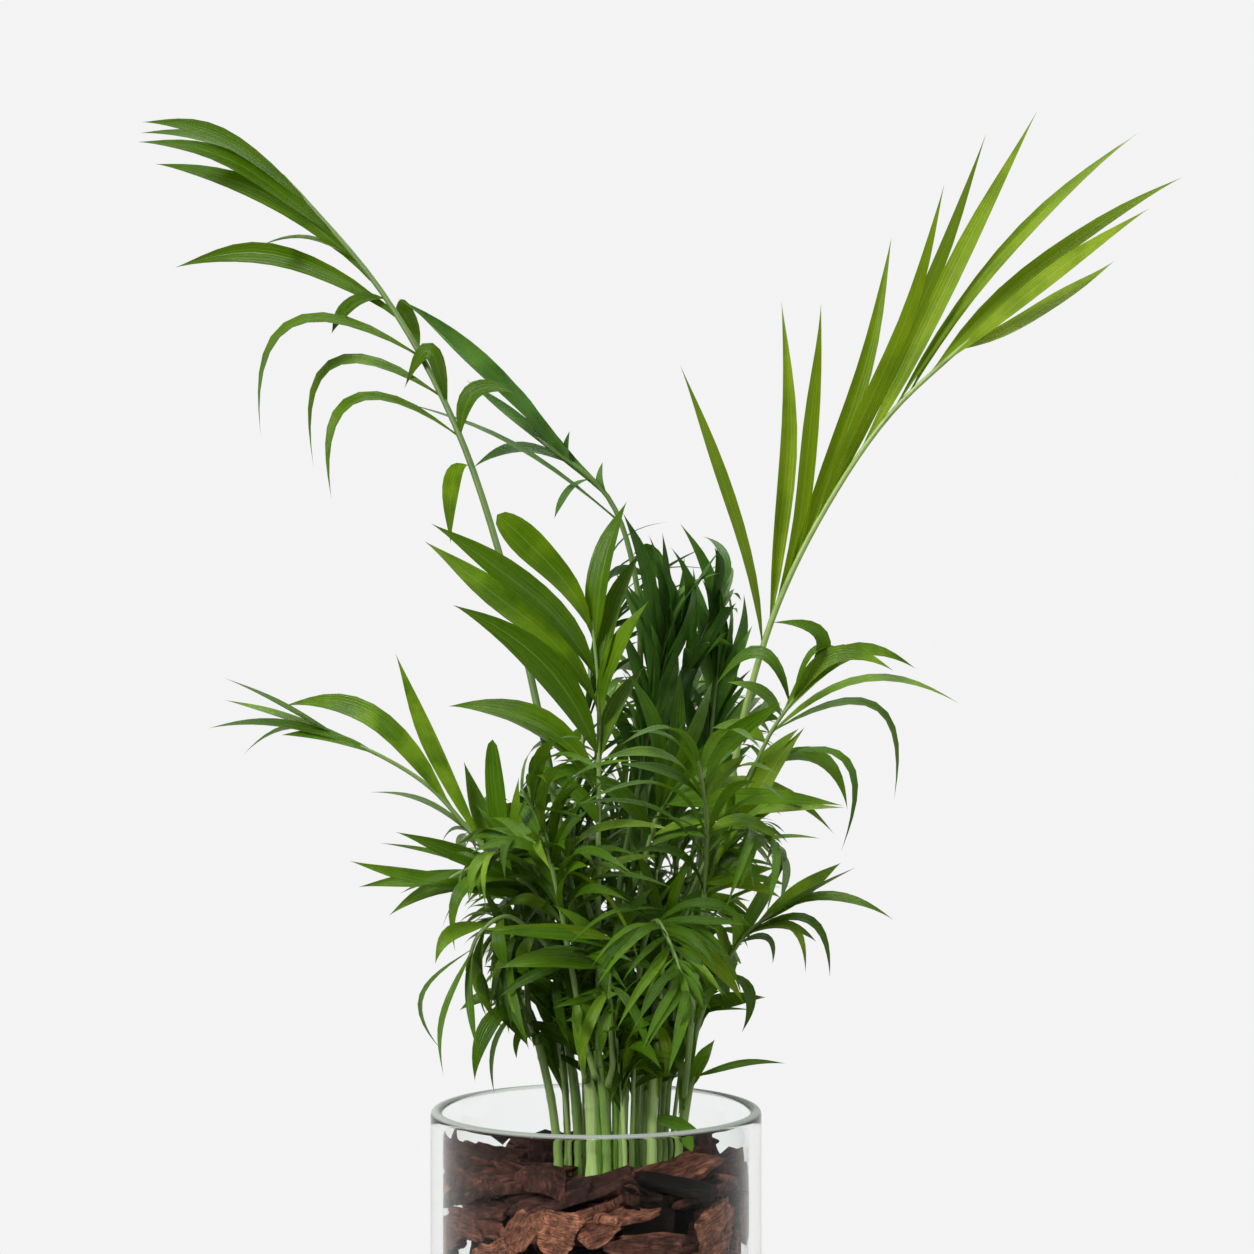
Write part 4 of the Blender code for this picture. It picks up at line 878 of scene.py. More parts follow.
def stemRoute(stem):
    # straight up from its foot, then leaning to its tip
    footX, footY, tipX, tipY, tipZ, _ = stem
    foot = Vector((footX, footY, stemLook["bed"]))
    rise = Vector((footX, footY, stemLook["bed"] + 7))
    lean = Vector((tipX, tipY, tipZ)) - rise
    third = rise + Vector((lean.x * 0.22, lean.y * 0.22, lean.z * 0.36))
    twoThirds = rise + Vector((lean.x * 0.6, lean.y * 0.6, lean.z * 0.7))
    return [foot] + evenly(through([rise, third, twoThirds, rise + lean], 5), stemLook["stations"] - 1)


def stemRadii(stem):
    # thick at the flared foot, narrowing towards the tip
    last = stemLook["stations"] - 1
    taper = stemLook["taper"]
    radii = [stem[5] * (taper + (1 - taper) * step / last) for step in range(last + 1)]
    radii[0] = stem[5] * taper * stemLook["flare"]
    return radii


stemSkin = {
    "dark": "3f6a12",
    "pale": "bcd48c",
    "streak": "8aae3c",
    "patch": "3f6a12",
    "squeezed": (14.0, 1.2, 1.0),  # the streaks, round the stalk and along it
    "streaks": (2.4, 4.0),  # scale and detail, as of the patches
    "patches": (70.0, 3.0),
    "streakShare": (0.4, 0.65, 0.0, 0.55),  # between which noise values it rises, and from what to what
    "patchShare": (0.55, 0.72, 0.0, 0.5),
    "gloss": (0.34, 0.55),
    "relief": (0.35, 0.0005),
}
ribSkin = {
    "dark": "41602a",
    "pale": "a3be68",
    "streak": "6f8f3e",
    "patch": "34521a",
    "squeezed": (9.0, 1.0, 1.0),
    "streaks": (2.0, 3.0),
    "patches": (80.0, 3.0),
    "streakShare": (0.42, 0.66, 0.0, 0.5),
    "patchShare": (0.5, 0.72, 0.0, 0.4),
    "gloss": (0.32, 0.5),
    "relief": (0.3, 0.0004),
}


def skinMaterial(name, look):
    # a stalk's skin: dark to pale by its tone, with streaks drawn out along it and darker patches
    made, tree, shader = newMaterial(name)
    tone, place, skin = readings(tree)
    streaks = noise(tree, stretched(tree, skin, look["squeezed"]), *look["streaks"])
    patches = noise(tree, place, *look["patches"])
    colour = blendColours(tree, tone, tint(look["dark"]), tint(look["pale"]))
    colour = blendColours(tree, spread(tree, streaks, *look["streakShare"]), colour, tint(look["streak"]))
    colour = blendColours(tree, spread(tree, patches, *look["patchShare"]), colour, tint(look["patch"]))
    tree.links.new(colour, shader.inputs["Base Color"])
    tree.links.new(spread(tree, streaks, 0.3, 0.7, *look["gloss"]), shader.inputs["Roughness"])
    bumped(tree, shader, streaks, *look["relief"])
    return made


def makeStems():
    # a circle carried along each stem's route, its radius swelling at every leaf scar and ribbed
    # round the skin by a small cosine
    look = stemLook
    material = skinMaterial("stalk_skin", stemSkin)
    around = np.linspace(0, 2 * np.pi, look["sides"], endpoint=False)
    for name, stem in stems.items():
        route = through(stemRoute(stem), 8)
        route = [route[0] - Vector((0, 0, look["buried"]))] + route
        count = len(route)
        radii = np.interp(np.linspace(0, 1, count), np.linspace(0, 1, look["stations"]), stemRadii(stem))
        radii[-1] *= 0.6
        radii[-2] *= 0.92
        middle = asArray(route)
        height = middle[:, 2]
        draw = random.Random(name)
        spacing = draw.uniform(*look["scarSpacing"])
        scars = (height + draw.uniform(0, spacing)) / spacing
        swell = 1 + look["scarSwell"] * np.exp(-((scars - np.round(scars)) / 0.05) ** 2)
        grid = tubeGrid(middle, radii * swell, look["sides"])
        ribbed = 1 + 0.035 * np.cos(7 * around + draw.uniform(0, 6))
        grid = middle[:, None] + (grid - middle[:, None]) * ribbed[None, :, None]
        maps = np.stack(np.broadcast_arrays(around[None] / 6.3, height[:, None] / 40), -1)
        gridPiece(
            name.replace("stem_", "stalk_"), grid[None], material, "stem_green", maps=maps[None],
            tones=look["tones"][name], wrap=True, caps=True, extra=(name,),
        )
    print("stems:", len(stems))


def jointOn(stem, level, towards):
    # where a frond's stalk starts: over the stem's tip, or beside the stem at a level below it
    route = stemRoute(stem)
    if level >= 1.0:
        along = (route[-1] - route[-2]).normalized()
        return route[-1] + along * frondLook["gap"], along
    position = level * (len(route) - 1)
    index = int(position)
    place = route[index].lerp(route[index + 1], position - index)
    along = (route[index + 1] - route[index]).normalized()
    aside = towards - place
    aside = (aside - along * aside.dot(along)).normalized()
    radius = stemRadii(stem)[index]
    start = place + aside * (radius + frondLook["sheath"] + frondLook["gap"] + 0.15)
    return start, (along + aside * 0.32).normalized()


def asSeen(place):
    # where a place appears in the axis plane
    return eye + (place - eye) * (-eye.y / (place.y - eye.y))


def inCrown(place):
    # whether the place is seen inside the crown's ellipse
    spot = asSeen(place)
    across = (spot.x - crownLook["centre"][0]) / crownLook["half"][0]
    up = (spot.z - crownLook["centre"][1]) / crownLook["half"][1]
    return across**2 + up**2 < 1


def inOutline(place):
    # whether the place is seen inside the outline of the leafy mass: crossings of a level line are counted
    spot = asSeen(place)
    inside = False
    corners = crownLook["outline"]
    for (x, z), (nextX, nextZ) in zip(corners, corners[1:] + corners[:1]):
        if (z > spot.z) != (nextZ > spot.z) and spot.x < x + (nextX - x) * (spot.z - z) / (nextZ - z):
            inside = not inside
    return inside


def heldIn(root, tip):
    # a leaflet's tip, drawn in until it is seen inside the outline, or nothing
    for share in (1.0, 0.9, 0.8, 0.7, 0.6, 0.5):
        if inOutline(root.lerp(tip, share)):
            return root.lerp(tip, share)


def upward(chord, root):
    # square to a leaflet's chord, pointing up, and outwards where the leaflet hangs
    outward = Vector((root.x - crownLook["clump"][0], root.y - crownLook["clump"][1], 0.0))
    outward = outward.normalized() if outward.length > 1 else Vector((0.0, -1.0, 0.0))
    lift = Vector((0.0, 0.0, 1.0)) + outward * 0.5
    along = chord.normalized()
    return (lift - along * lift.dot(along)).normalized()


# a leaflet is a row of root, tip, the way its arch rises, rise, turn, width, swell, the way it faces, and hug


def nudge(choice):
    # a small chance shift of a leaflet's root
    return Vector([choice.uniform(-0.18, 0.18) for _ in range(3)])


def facing(root, tip, up):
    # the side of a leaflet that looks towards the viewer
    front = (tip - root).cross(up)
    return -front if front.y > 0 else front


def sunk(root, tip):
    # a leaflet's start, set back through the middle of the rib
    return root - (tip - root).normalized() * frondLook["sink"]


def shownRib(frond, shift):
    # the rib of a frond that the photograph shows, bowed away from the viewer by a shift
    points = []
    for index, (x, z, depth) in enumerate(frond["rib"]):
        bow = shift * math.sin(math.pi * (index + 1) / (len(frond["rib"]) + 1))
        points.append(seen(x, z, depth + bow))
    start, along = jointOn(stems[frond["stem"]], frond["level"], points[0])
    return [start] + evenly(through([start + along * 7] + points, 6), frondLook["stations"] - 1)


def shownLeaves(frond, rib):
    # the leaflets of a frond that the photograph shows, each with the depths that its tip may take
    fine = evenly(rib, 120)
    free = fine[int(len(fine) * 0.3):] if frond["level"] >= 1.0 else fine[40:]
    choice = random.Random(frond["name"])
    axis = 0 if frond["read"] == "x" else 2
    for index, row in enumerate(frond["leaves"]):
        at, tipX, tipZ, rise, shown = row[:5]
        swell = row[5] if len(row) > 5 else frondLook["pointed"]
        spot = min(free, key=lambda place: abs(asSeen(place)[axis] - at))
        free = [place for place in free if (place - spot).length > frondLook["rootSpacing"]]
        root = spot + nudge(choice)
        flatLength = math.hypot(tipX - asSeen(root).x, tipZ - asSeen(root).z)
        side = 1 if index % 2 else -1
        away = side * frond["spread"] * flatLength * choice.uniform(0.6, 1.1)
        width = max(frond["width"], shown)
        turn = math.acos(min(1.0, shown / width))
        tries = []
        for push in frondLook["pushes"]:
            tip = seen(tipX, tipZ, root.y + away + push)
            up = upward(tip - root, root)
            tries.append((sunk(root, tip), tip, up, rise, turn, width, swell, eye - root))
        yield tries


def tierRib(frond, turn, bow):
    # up from its stem, over an arch and out to its reach; its bearing turns and its middle bows
    bearing = math.radians(frond["bearing"] + turn)
    outward = Vector((math.cos(bearing), math.sin(bearing), 0.0))
    aside = Vector((-outward.y, outward.x, 0.0))
    centre = Vector((*crownLook["clump"], frond["height"]))
    reach = frond["reach"]
    while not inCrown(centre + outward * reach):
        reach *= 0.95
    tip = centre + outward * reach
    start, along = jointOn(stems[frond["stem"]], frond["level"], tip)
    lead = start + along * tierLook["lead"]
    arch = Vector((0.0, 0.0, frond["arch"]))
    middle = lead.lerp(tip, 0.5) + arch - outward * reach * tierLook["setBack"] + aside * bow
    return [start] + evenly(through([lead, middle, tip], 8), frondLook["stations"] - 1)


def tierLeaves(frond, rib):
    # pairs of leaflets that open less and less towards the rib's tip, and a last pair at its end
    choice = random.Random(frond["name"])
    fine = evenly(rib, 101)
    pairs = frond["pairs"]
    first, over = tierLook["leafy"]
    wide, less, chanceOf = tierLook["opening"]
    least, more, fromShare, overShare = tierLook["lengths"]
    narrowest, wider = tierLook["widths"]
    for index in range(pairs + 1):
        share = index / pairs
        spot = min(98, int(100 * (first + over * share)))
        along = (fine[spot + 1] - fine[spot - 1]).normalized()
        side = along.cross(Vector((0.0, 0.0, 1.0))).normalized()
        opening = math.radians(wide - less * share + choice.uniform(-chanceOf, chanceOf))
        length = frond["length"] * (least + more * math.sin(math.pi * (fromShare + overShare * share)))
        width = narrowest + wider * choice.random()
        droop = choice.uniform(*tierLook["droops"])
        turn = math.radians(choice.uniform(*tierLook["turns"]))
        for hand in (-1, 1):
            root = fine[spot + hand] + nudge(choice)
            tries = []
            for shorter, twist in itertools.product(tierLook["shorter"], tierLook["twists"]):
                angle = opening + twist
                way = along * math.cos(angle) + side * hand * math.sin(angle)
                way = (way - Vector((0.0, 0.0, droop))).normalized()
                tip = root + way * length * shorter
                if inCrown(tip):
                    up = upward(tip - root, root)
                    rise = 0.08 + droop * 0.5
                    leaf = (sunk(root, tip), tip, up, rise, turn, width, frondLook["pointed"])
                    tries.append((*leaf, facing(root, tip, up)))
            yield tries


def tierFronds():
    # the fronds of each tier, spread over its sweep, each on the stem that stands nearest its way
    used = {name: set() for name in stems}
    for frond in shownFronds:
        used[frond["stem"]].add(frond["level"])
    clump = Vector(crownLook["clump"])
    fronds = []
    for title, count, middle, sweep, height, reach, arch, pairs, length in frondTiers:
        for index in range(count):
            bearing = middle + sweep * ((2 * index + 1) / count - 1)
            way = Vector((math.cos(math.radians(bearing)), math.sin(math.radians(bearing))))

            def fit(name):
                return (Vector(stems[name][:2]) - clump).dot(way) - 14 * len(used[name])

            stem = max(stems, key=fit)
            level = [level for level in (1.0, *crownLook["levels"]) if level not in used[stem]][0]
            used[stem].add(level)
            sway = random.Random(f"{title}{index}")
            fronds.append(dict(
                name=f"{title}_{index + 1}", stem=stem, level=level, bearing=bearing,
                height=height + sway.uniform(-14, 14), reach=reach * sway.uniform(0.86, 1.08),
                arch=arch, pairs=pairs, length=length,
            ))
    return fronds


# the fronds as they were packed, and their finer leaflets


def settledFrond(frond, ribOf, leavesOf, ways):
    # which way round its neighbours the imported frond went: the way whose rib runs inside the solid,
    # with the tip of each leaflet on one of the solid's own corners
    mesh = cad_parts[frond["name"]].data
    corners = np.empty(len(mesh.vertices) * 3)
    mesh.vertices.foreach_get("co", corners)
    corners = np.unique(np.round(corners.reshape(-1, 3) / mm, 3), axis=0)
    packed = KDTree(len(corners))
    for index, corner in enumerate(corners):
        packed.insert(corner, index)
    packed.balance()
    ribs = [
        ribOf(frond | {"level": frond["level"] - drop}, *way)
        for drop, way in itertools.product(crownLook["levelDrops"], ways)
    ]
    rib = min(ribs, key=lambda route: sum(packed.find(place)[2] for place in route[1:]))
    leaves = []
    for tries in leavesOf(frond, rib):
        leaves += [leaf for leaf in tries if packed.find(leaf[1])[2] < frondLook["found"]][:1]
    return rib, leaves


def hugging(fine, leaf, reach=1.0):
    # from the place further down the rib where a leaflet's foot starts, to the leaflet's own start: the foot
    # runs up along the rib for up to 0.16 of the leaflet's length, longest where it leaves at a narrow angle
    index = min(range(1, len(fine)), key=lambda index: (fine[index] - leaf[0]).length)
    along = (fine[index] - fine[index - 1]).normalized()
    chord = leaf[1] - leaf[0]
    narrow = min(1.0, abs(along.dot(chord.normalized())))
    wanted = min(0.16 * chord.length, frondLook["hug"]) * (0.35 + 0.65 * narrow) * reach
    foot = index
    while foot > 0 and (fine[foot] - fine[index]).length < wanted:
        foot -= 1
    return leaf[0] - fine[foot]


def moreLeaves(frond, rib, leaves):
    # a finer leaflet between neighbours of one hand, that points between theirs and ends a little shorter
    choice = random.Random(frond["name"] + " finer")
    middle = evenly(rib, 60)
    placed = []
    for leaf in leaves:
        spot = min(range(60), key=lambda index: (middle[index] - leaf[0]).length)
        placed.append((spot, leaf))
    placed.sort(key=lambda item: item[0])
    added = []
    for (spot, leaf), (nextSpot, other) in itertools.product(placed, placed):
        if not 0 < nextSpot - spot <= frondLook["between"]:
            continue
        way = (leaf[1] - leaf[0]).normalized()
        otherWay = (other[1] - other[0]).normalized()
        if way.dot(otherWay) < 0.55:
            continue
        share = choice.uniform(0.7, 1.3) / 2
        root = middle[int(round(spot + (nextSpot - spot) * share))] + nudge(choice)
        length = (leaf[1] - leaf[0]).length * (1 - share) + (other[1] - other[0]).length * share
        scatter = Vector([choice.uniform(-0.16, 0.16) for _ in range(3)])
        heading = (way.lerp(otherWay, share) + scatter).normalized()
        tip = root + heading * length * choice.uniform(0.6, 0.9)
        up = upward(tip - root, root)
        turn = leaf[4] * (1 - share) + other[4] * share + choice.uniform(-0.3, 0.3)
        width = leaf[5] * choice.uniform(0.6, 0.9)
        finer = (root, tip, up, leaf[3] * 0.7 + 0.04, turn, width, leaf[6], leaf[7].lerp(other[7], share))
        added.append((*finer, hugging(middle, finer)))
    return added


def trimmed(rib, leaves):
    # a tier's frond cut back to the outline of the crown, as the photograph shows sky past it
    fine = evenly(rib, 101)
    last = max([spot for spot in range(101) if inOutline(fine[spot])] + [45])
    kept = []
    for leaf in leaves:
        spot = min(range(101), key=lambda index: (fine[index] - leaf[0]).length)
        tip = heldIn(leaf[0], leaf[1])
        if tip and spot <= last:
            kept.append((leaf[0], tip, *leaf[2:]))
    return evenly(fine[:last + 1], len(rib)), kept


def fillLeaves(name, rib, first, step, length, widths):
    # narrow leaflets to both hands along a rib from its first share on, opening and drooping by chance
    choice = random.Random(name + " fill")
    fine = evenly(rib, 101)
    added = []
    for spot in range(int(first * 100), 99, step):
        along = (fine[spot + 1] - fine[spot - 1]).normalized()
        side = along.cross(Vector((0.0, 0.0, 1.0))).normalized()
        swing = math.radians(choice.uniform(-50, 50)) if abs(along.z) > 0.8 else 0.0
        side = side * math.cos(swing) + along.cross(side) * math.sin(swing)
        for hand in (-1, 1):
            opening = math.radians(choice.uniform(28, 78))
            root = fine[spot] + nudge(choice)
            way = along * math.cos(opening) + side * hand * math.sin(opening)
            way = (way - Vector((0.0, 0.0, choice.uniform(-0.25, 0.65)))).normalized()
            reach = length * choice.uniform(0.5, 1.0) * (0.75 + 0.3 * math.sin(math.pi * spot / 100))
            tip = heldIn(root, root + way * reach)
            if not tip or (tip - root).length < 14:
                continue
            up = upward(tip - root, root)
            rise = choice.uniform(0.03, 0.3)
            turn = math.radians(choice.uniform(50, 130))
            leaf = (sunk(root, tip), tip, up, rise, turn, choice.uniform(*widths), frondLook["pointed"])
            leaf = (*leaf, facing(root, tip, up))
            added.append((*leaf, hugging(fine, leaf)))
    return added


def leafGrids(leaves, draw, slim):
    # t runs from root to tip and s from edge to edge. The middle line is a quadratic arch whose foot is drawn
    # down the rib by (1 - t)^5; the half width is width / 2 * sin(pi t^swell)^(0.62 + 0.6 t^2); the blade
    # folds up along its middle by a share of the half width times |s|, sways aside by a small sine of t and
    # turns slowly round its middle line
    root, tip, up, front, hug = (asArray(leaf[part] for leaf in leaves)[:, None] for part in (0, 1, 2, 7, 8))
    rise, turn, width, swell = (
        np.array([leaf[part] for leaf in leaves])[:, None, None] for part in (3, 4, 5, 6)
    )
    count = len(leaves)
    t = np.linspace(0, 1, frondLook["rows"])
    t = (0.35 * t + 0.65 * (0.5 - 0.5 * np.cos(np.pi * t)))[None, :, None]
    s = np.linspace(-1, 1, frondLook["across"])[None, None, :, None]
    chord = tip - root
    length = np.linalg.norm(chord, axis=-1, keepdims=True)
    control = root + chord / 2 + up * rise * 2 * length
    middle = root * (1 - t) ** 2 + control * 2 * t * (1 - t) + tip * t**2
    along = unit((control - root) * (1 - t) + (tip - control) * t)
    beside = unit(front - along * np.sum(front * along, -1, keepdims=True))
    over = np.cross(beside, along)
    over = np.where(np.sum(over * up, -1, keepdims=True) < 0, -over, over)
    slowly = draw.uniform(-0.35, 0.35, (count, 1, 1)) * (t - 0.3)
    angle = turn + slowly + draw.uniform(-0.1, 0.1, (count, 1, 1))
    raised = beside * np.cos(angle) + over * np.sin(angle)
    aside = over * np.cos(angle) - beside * np.sin(angle)
    grown = np.clip((t - 0.05) / 0.95, 0, 1)
    power = np.where(swell > 1.2, 0.42, 0.62 + 0.6 * t**2)
    neck = frondLook["neck"] + 0.035 * np.linalg.norm(hug, axis=-1, keepdims=True)
    half = np.maximum(neck * (1 - t) ** 1.5, slim * width / 2 * np.sin(np.pi * grown**swell) ** power)
    half = half * (1 + 0.05 * np.sin(9 * t + draw.uniform(0, 6, (count, 1, 1))))
    sway = length * draw.uniform(-0.025, 0.025, (count, 1, 1)) * np.sin(2 * np.pi * t) * (1 - t)
    middle = middle + aside * sway - hug * (1 - t) ** 5
    fold = frondLook["fold"] * draw.uniform(0.3, 1.3, (count, 1, 1)) * (1 - 0.5 * t)
    broad = aside[:, :, None] * (half[:, :, None] * s)
    folded = raised[:, :, None] * (fold * half)[:, :, None] * (np.abs(s) ** 1.3 - 0.4)
    points = middle[:, :, None] + broad + folded
    maps = np.stack(np.broadcast_arrays((s[..., 0] + 1) / 2, np.broadcast_to(t, (count, t.shape[1], 1))), -1)
    return points, maps


def leafMaterial(look):
    # a green picked by the leaflet's tone, down to the inner green of the painted shade in the middle of the
    # clump, with darker patches, bright threads and dark veins along it, a pale midrib, and light that shines
    # through
    _, tree, shader = newMaterial(look["material"])
    tone, place, blade = readings(tree)
    across = makeNode(tree, "ShaderNodeSeparateXYZ", {0: blade}).outputs[0]
    offMiddle = calc(tree, "ABSOLUTE", calc(tree, "SUBTRACT", across, 0.5))
    patches = noise(tree, place, 55.0, 3.0)
    mottle = noise(tree, place, 260.0, 3.0)
    threads = noise(tree, stretched(tree, blade, (26.0, 1.1, 1.0)), 1.6, 3.0)
    veins = spread(tree, calc(tree, "SINE", calc(tree, "MULTIPLY", across, 44.0)), 0.2, 1.0)
    rib = spread(tree, offMiddle, 0.04, 0.012, 0.0, 0.28)
    # the inner green is painted shade, reached where a leaflet's tone is darkened towards the clump's middle
    colour = tint(look["inner"])
    for share, shade in (
        (spread(tree, tone, -0.5, 0.0), "dark"),
        (spread(tree, tone, 0.0, 0.5), "main"),
        (spread(tree, tone, 0.5, 1.0), "bright"),
        (spread(tree, patches, 0.42, 0.62, 0.0, 0.75), "dark"),
        (spread(tree, threads, 0.46, 0.62, 0.0, 0.36), "bright"),
        (spread(tree, veins, 0.0, 1.0, 0.0, 0.18), "dark"),
        (spread(tree, mottle, 0.35, 0.65, 0.0, 0.3), "main"),
        (rib, "vein"),
    ):
        colour = blendColours(tree, share, colour, tint(look[shade]))
    tree.links.new(colour, shader.inputs["Base Color"])
    gloss = spread(tree, mottle, 0.3, 0.7, look["gloss"] - 0.05, look["gloss"] + 0.14)
    tree.links.new(gloss, shader.inputs["Roughness"])
    shader.inputs["Specular IOR Level"].default_value = look["shine"]
    height = calc(tree, "ADD", calc(tree, "MULTIPLY", veins, 0.6), calc(tree, "MULTIPLY", threads, 0.8))
    height = calc(tree, "SUBTRACT", height, calc(tree, "MULTIPLY", rib, 1.4))
    bumped(tree, shader, height, 0.4, 0.0006)
    glow = blendColours(tree, 0.5, colour, tint(look["through"]))
    lit = makeNode(tree, "ShaderNodeBsdfTranslucent", {"Color": glow}).outputs[0]
    finishWith(tree, mixShaders(tree, look["thin"], shader.outputs[0], lit))


def paintedShadeTones(leaves, tones, share):
    # painted shade: tones of leaflets made darker by a bell curve towards the middle of the clump, where
    # shade falls
    middle = asArray((leaf[0] + leaf[1]) / 2 for leaf in leaves)[:, :2] - crownLook["clump"]
    return tones - share * np.exp(-np.sum((middle / crownLook["inside"]) ** 2, -1))[:, None, None]


def ribMaps(around, along):
    # a stalk's own map: round it one way and along it the other
    return np.stack(np.broadcast_arrays(around[None], along[:, None]), -1)[None]


def makeFrond(frond, rib, leaves, draw):
    # the leaflets are one piece, and the rib is another: a circle carried along it, as thick as its sheath
    # where it starts inside its stem, and thinning to its tip by the 0.8th power
    name = frond["name"]
    look = greens[frond["green"]]
    inner = frond.get("inner")
    grids, maps = leafGrids(leaves, draw, frond["slim"])
    tones = draw.normal(frond.get("tone", look["tone"]), 0.38 if inner else 0.28, (len(leaves), 1, 1))
    # painted shade, darker towards the middle of the clump
    if inner:
        tones = paintedShadeTones(leaves, tones, inner)
    gridPiece(
        name.replace("frond_", "leaflets_"), grids, bpy.data.materials[look["material"]], look["slot"],
        maps=maps, tones=np.clip(tones, -0.5, 1), extra=(name,),
    )
    start = rib[0] - (rib[1] - rib[0]).normalized() * 3.0
    route = [start] + through(rib, 6)
    share = np.linspace(0, 1, len(route))
    radii = frondLook["ribTip"] + (frondLook["sheath"] - frondLook["ribTip"]) * (1 - share) ** 0.8
    radii = radii * frond.get("stout", 1.0)
    radii[0] *= 1.25
    radii[-1] *= 0.5
    grid = tubeGrid(asArray(route), radii, 12)
    maps = ribMaps(np.linspace(0, 1, 12, endpoint=False), share * len(route) / 4)
    gridPiece(
        name.replace("frond_", "rib_"), grid[None], bpy.data.materials["rib_skin"], look["slot"], maps=maps,
        tones=frond.get("ribTone", look["ribTone"]), wrap=True, caps=True, extra=(name,),
    )
    return len(leaves)


# each green's inner colour is the painted shade of the middle of the clump, the darkest its tone reaches
greens = {
    "bright": {
        "material": "leaf_bright", "slot": "leaf_bright_green",
        "inner": "24400a", "main": "668604", "dark": "4c6c0a", "bright": "98ae2a", "vein": "b0c262",
        "through": "a4c612", "thin": 0.22, "gloss": 0.3, "shine": 0.14, "tone": 0.5, "ribTone": 0.9,
    },
    "mid": {
        "material": "leaf_middling", "slot": "leaf_green",
        "inner": "142c04", "main": "456602", "dark": "284a02", "bright": "6a8a10", "vein": "7c9c48",
        "through": "7eaa0a", "thin": 0.18, "gloss": 0.28, "shine": 0.17, "tone": 0.45, "ribTone": 0.45,
    },
    "fresh": {
        "material": "leaf_fresh", "slot": "leaf_green",
        "inner": "0c2602", "main": "416a06", "dark": "244a02", "bright": "80a222", "vein": "6c9234",
        "through": "76a00a", "thin": 0.17, "gloss": 0.28, "shine": 0.22, "tone": 0.5, "ribTone": 0.4,
    },
    "deep": {
        "material": "leaf_deep", "slot": "leaf_dark_green",
        "inner": "0e2803", "main": "42701a", "dark": "244c0a", "bright": "6c9a38", "vein": "5f803c",
        "through": "4f7c0c", "thin": 0.1, "gloss": 0.34, "shine": 0.34, "tone": 0.45, "ribTone": 0.25,
    },
}
frondDress = {
    # how the fronds differ from the plain "fresh" green with a finer leaflet between neighbours
    "frond_upper_right": {"green": "bright", "finer": 0, "slim": 0.92, "stout": 1.25, "hug": 0.45},
    "frond_upper_left": {
        "green": "mid", "finer": 0, "slim": 0.92, "stout": 1.4, "hug": 2.2, "ribTone": 0.2,
    },
    "frond_upper_middle": {
        "green": "deep", "finer": 0, "slim": 0.88, "stout": 1.3, "hug": 2.2, "ribTone": 0.15,
    },
    "frond_centre_broad": {"green": "mid", "finer": 0, "slim": 1.0},
    "frond_right_arching": {"finer": 0, "slim": 0.85},
    "frond_right_level": {"finer": 0, "slim": 0.9},
    "frond_right_low": {"finer": 0, "slim": 0.85},
    "frond_right_lowest": {"finer": 0, "slim": 0.85},
    "frond_left_middle": {"finer": 0, "slim": 0.95},
    "frond_left_low": {"finer": 0, "slim": 0.9},
    "frond_left_drooping": {"finer": 0, "slim": 0.85},
    "frond_left_lowest": {"finer": 0, "slim": 0.85},
    "frond_front_right": {"green": "mid", "finer": 0, "slim": 0.62},
    "frond_front_left": {"finer": 0, "slim": 0.66},
    "frond_centre_dark": {"green": "deep", "slim": 0.78},
    "frond_centre_right": {"green": "deep", "slim": 0.78},
    "frond_front_high_1": {"slim": 0.78, "finer": 0, "fillStep": 16, "tone": 0.35},
    "frond_front_high_2": {"slim": 0.8, "finer": 0, "fillStep": 18, "tone": 0.3},
    "frond_front_high_3": {"slim": 0.78, "finer": 0, "fillStep": 16, "tone": 0.35},
    "frond_front_skirt_1": {"slim": 0.44, "tone": 0.3},
    "frond_front_skirt_2": {"slim": 0.42, "tone": 0.25},
    "frond_front_middle_1": {"slim": 0.48, "tone": 0.4},
    "frond_front_middle_2": {"slim": 0.48, "tone": 0.4},
}


# young shoots between the stems: foot x and y, tip x, y and z, radius
shoots = (
    (-12, -4, -24, -12, 266, 1.0), (-5, 2, -9, 6, 296, 1.0), (2, -16, -3, -32, 272, 1.1),
    (4, 12, -6, 22, 304, 0.9), (9, -16, 9, -28, 286, 1.0), (10, 2, 13, 6, 312, 1.2),
    (16, -16, 20, -30, 272, 1.1), (20, 12, 28, 24, 306, 0.9), (22, -4, 25, -8, 298, 1.3),
    (28, 8, 40, 16, 292, 1.0), (31, -8, 42, -18, 280, 1.2), (34, 4, 50, 4, 268, 1.0),
    (13, -22, 8, -40, 252, 1.0), (0, 20, -14, 30, 286, 1.0), (6, -6, 2, -10, 262, 1.4),
    (17, -6, 16, -8, 280, 1.2),
)


shootLook = {
    "stations": 24,
    "sides": 10,
    "buried": 18,
    "thins": (1.15, 0.55),
    "leafy": 0.5,  # from which share of the stalk on
    "leafStep": 5,
    "leafLength": 44.0,
    "leafWidths": (4.0, 7.5),
    "tone": 0.45,
    # how much painted shade darkens the shoots' leaflets in the middle of the clump
    "inner": 0.5,
    "stalkTones": (-0.1, 0.1, 0.3, 0.7),
}


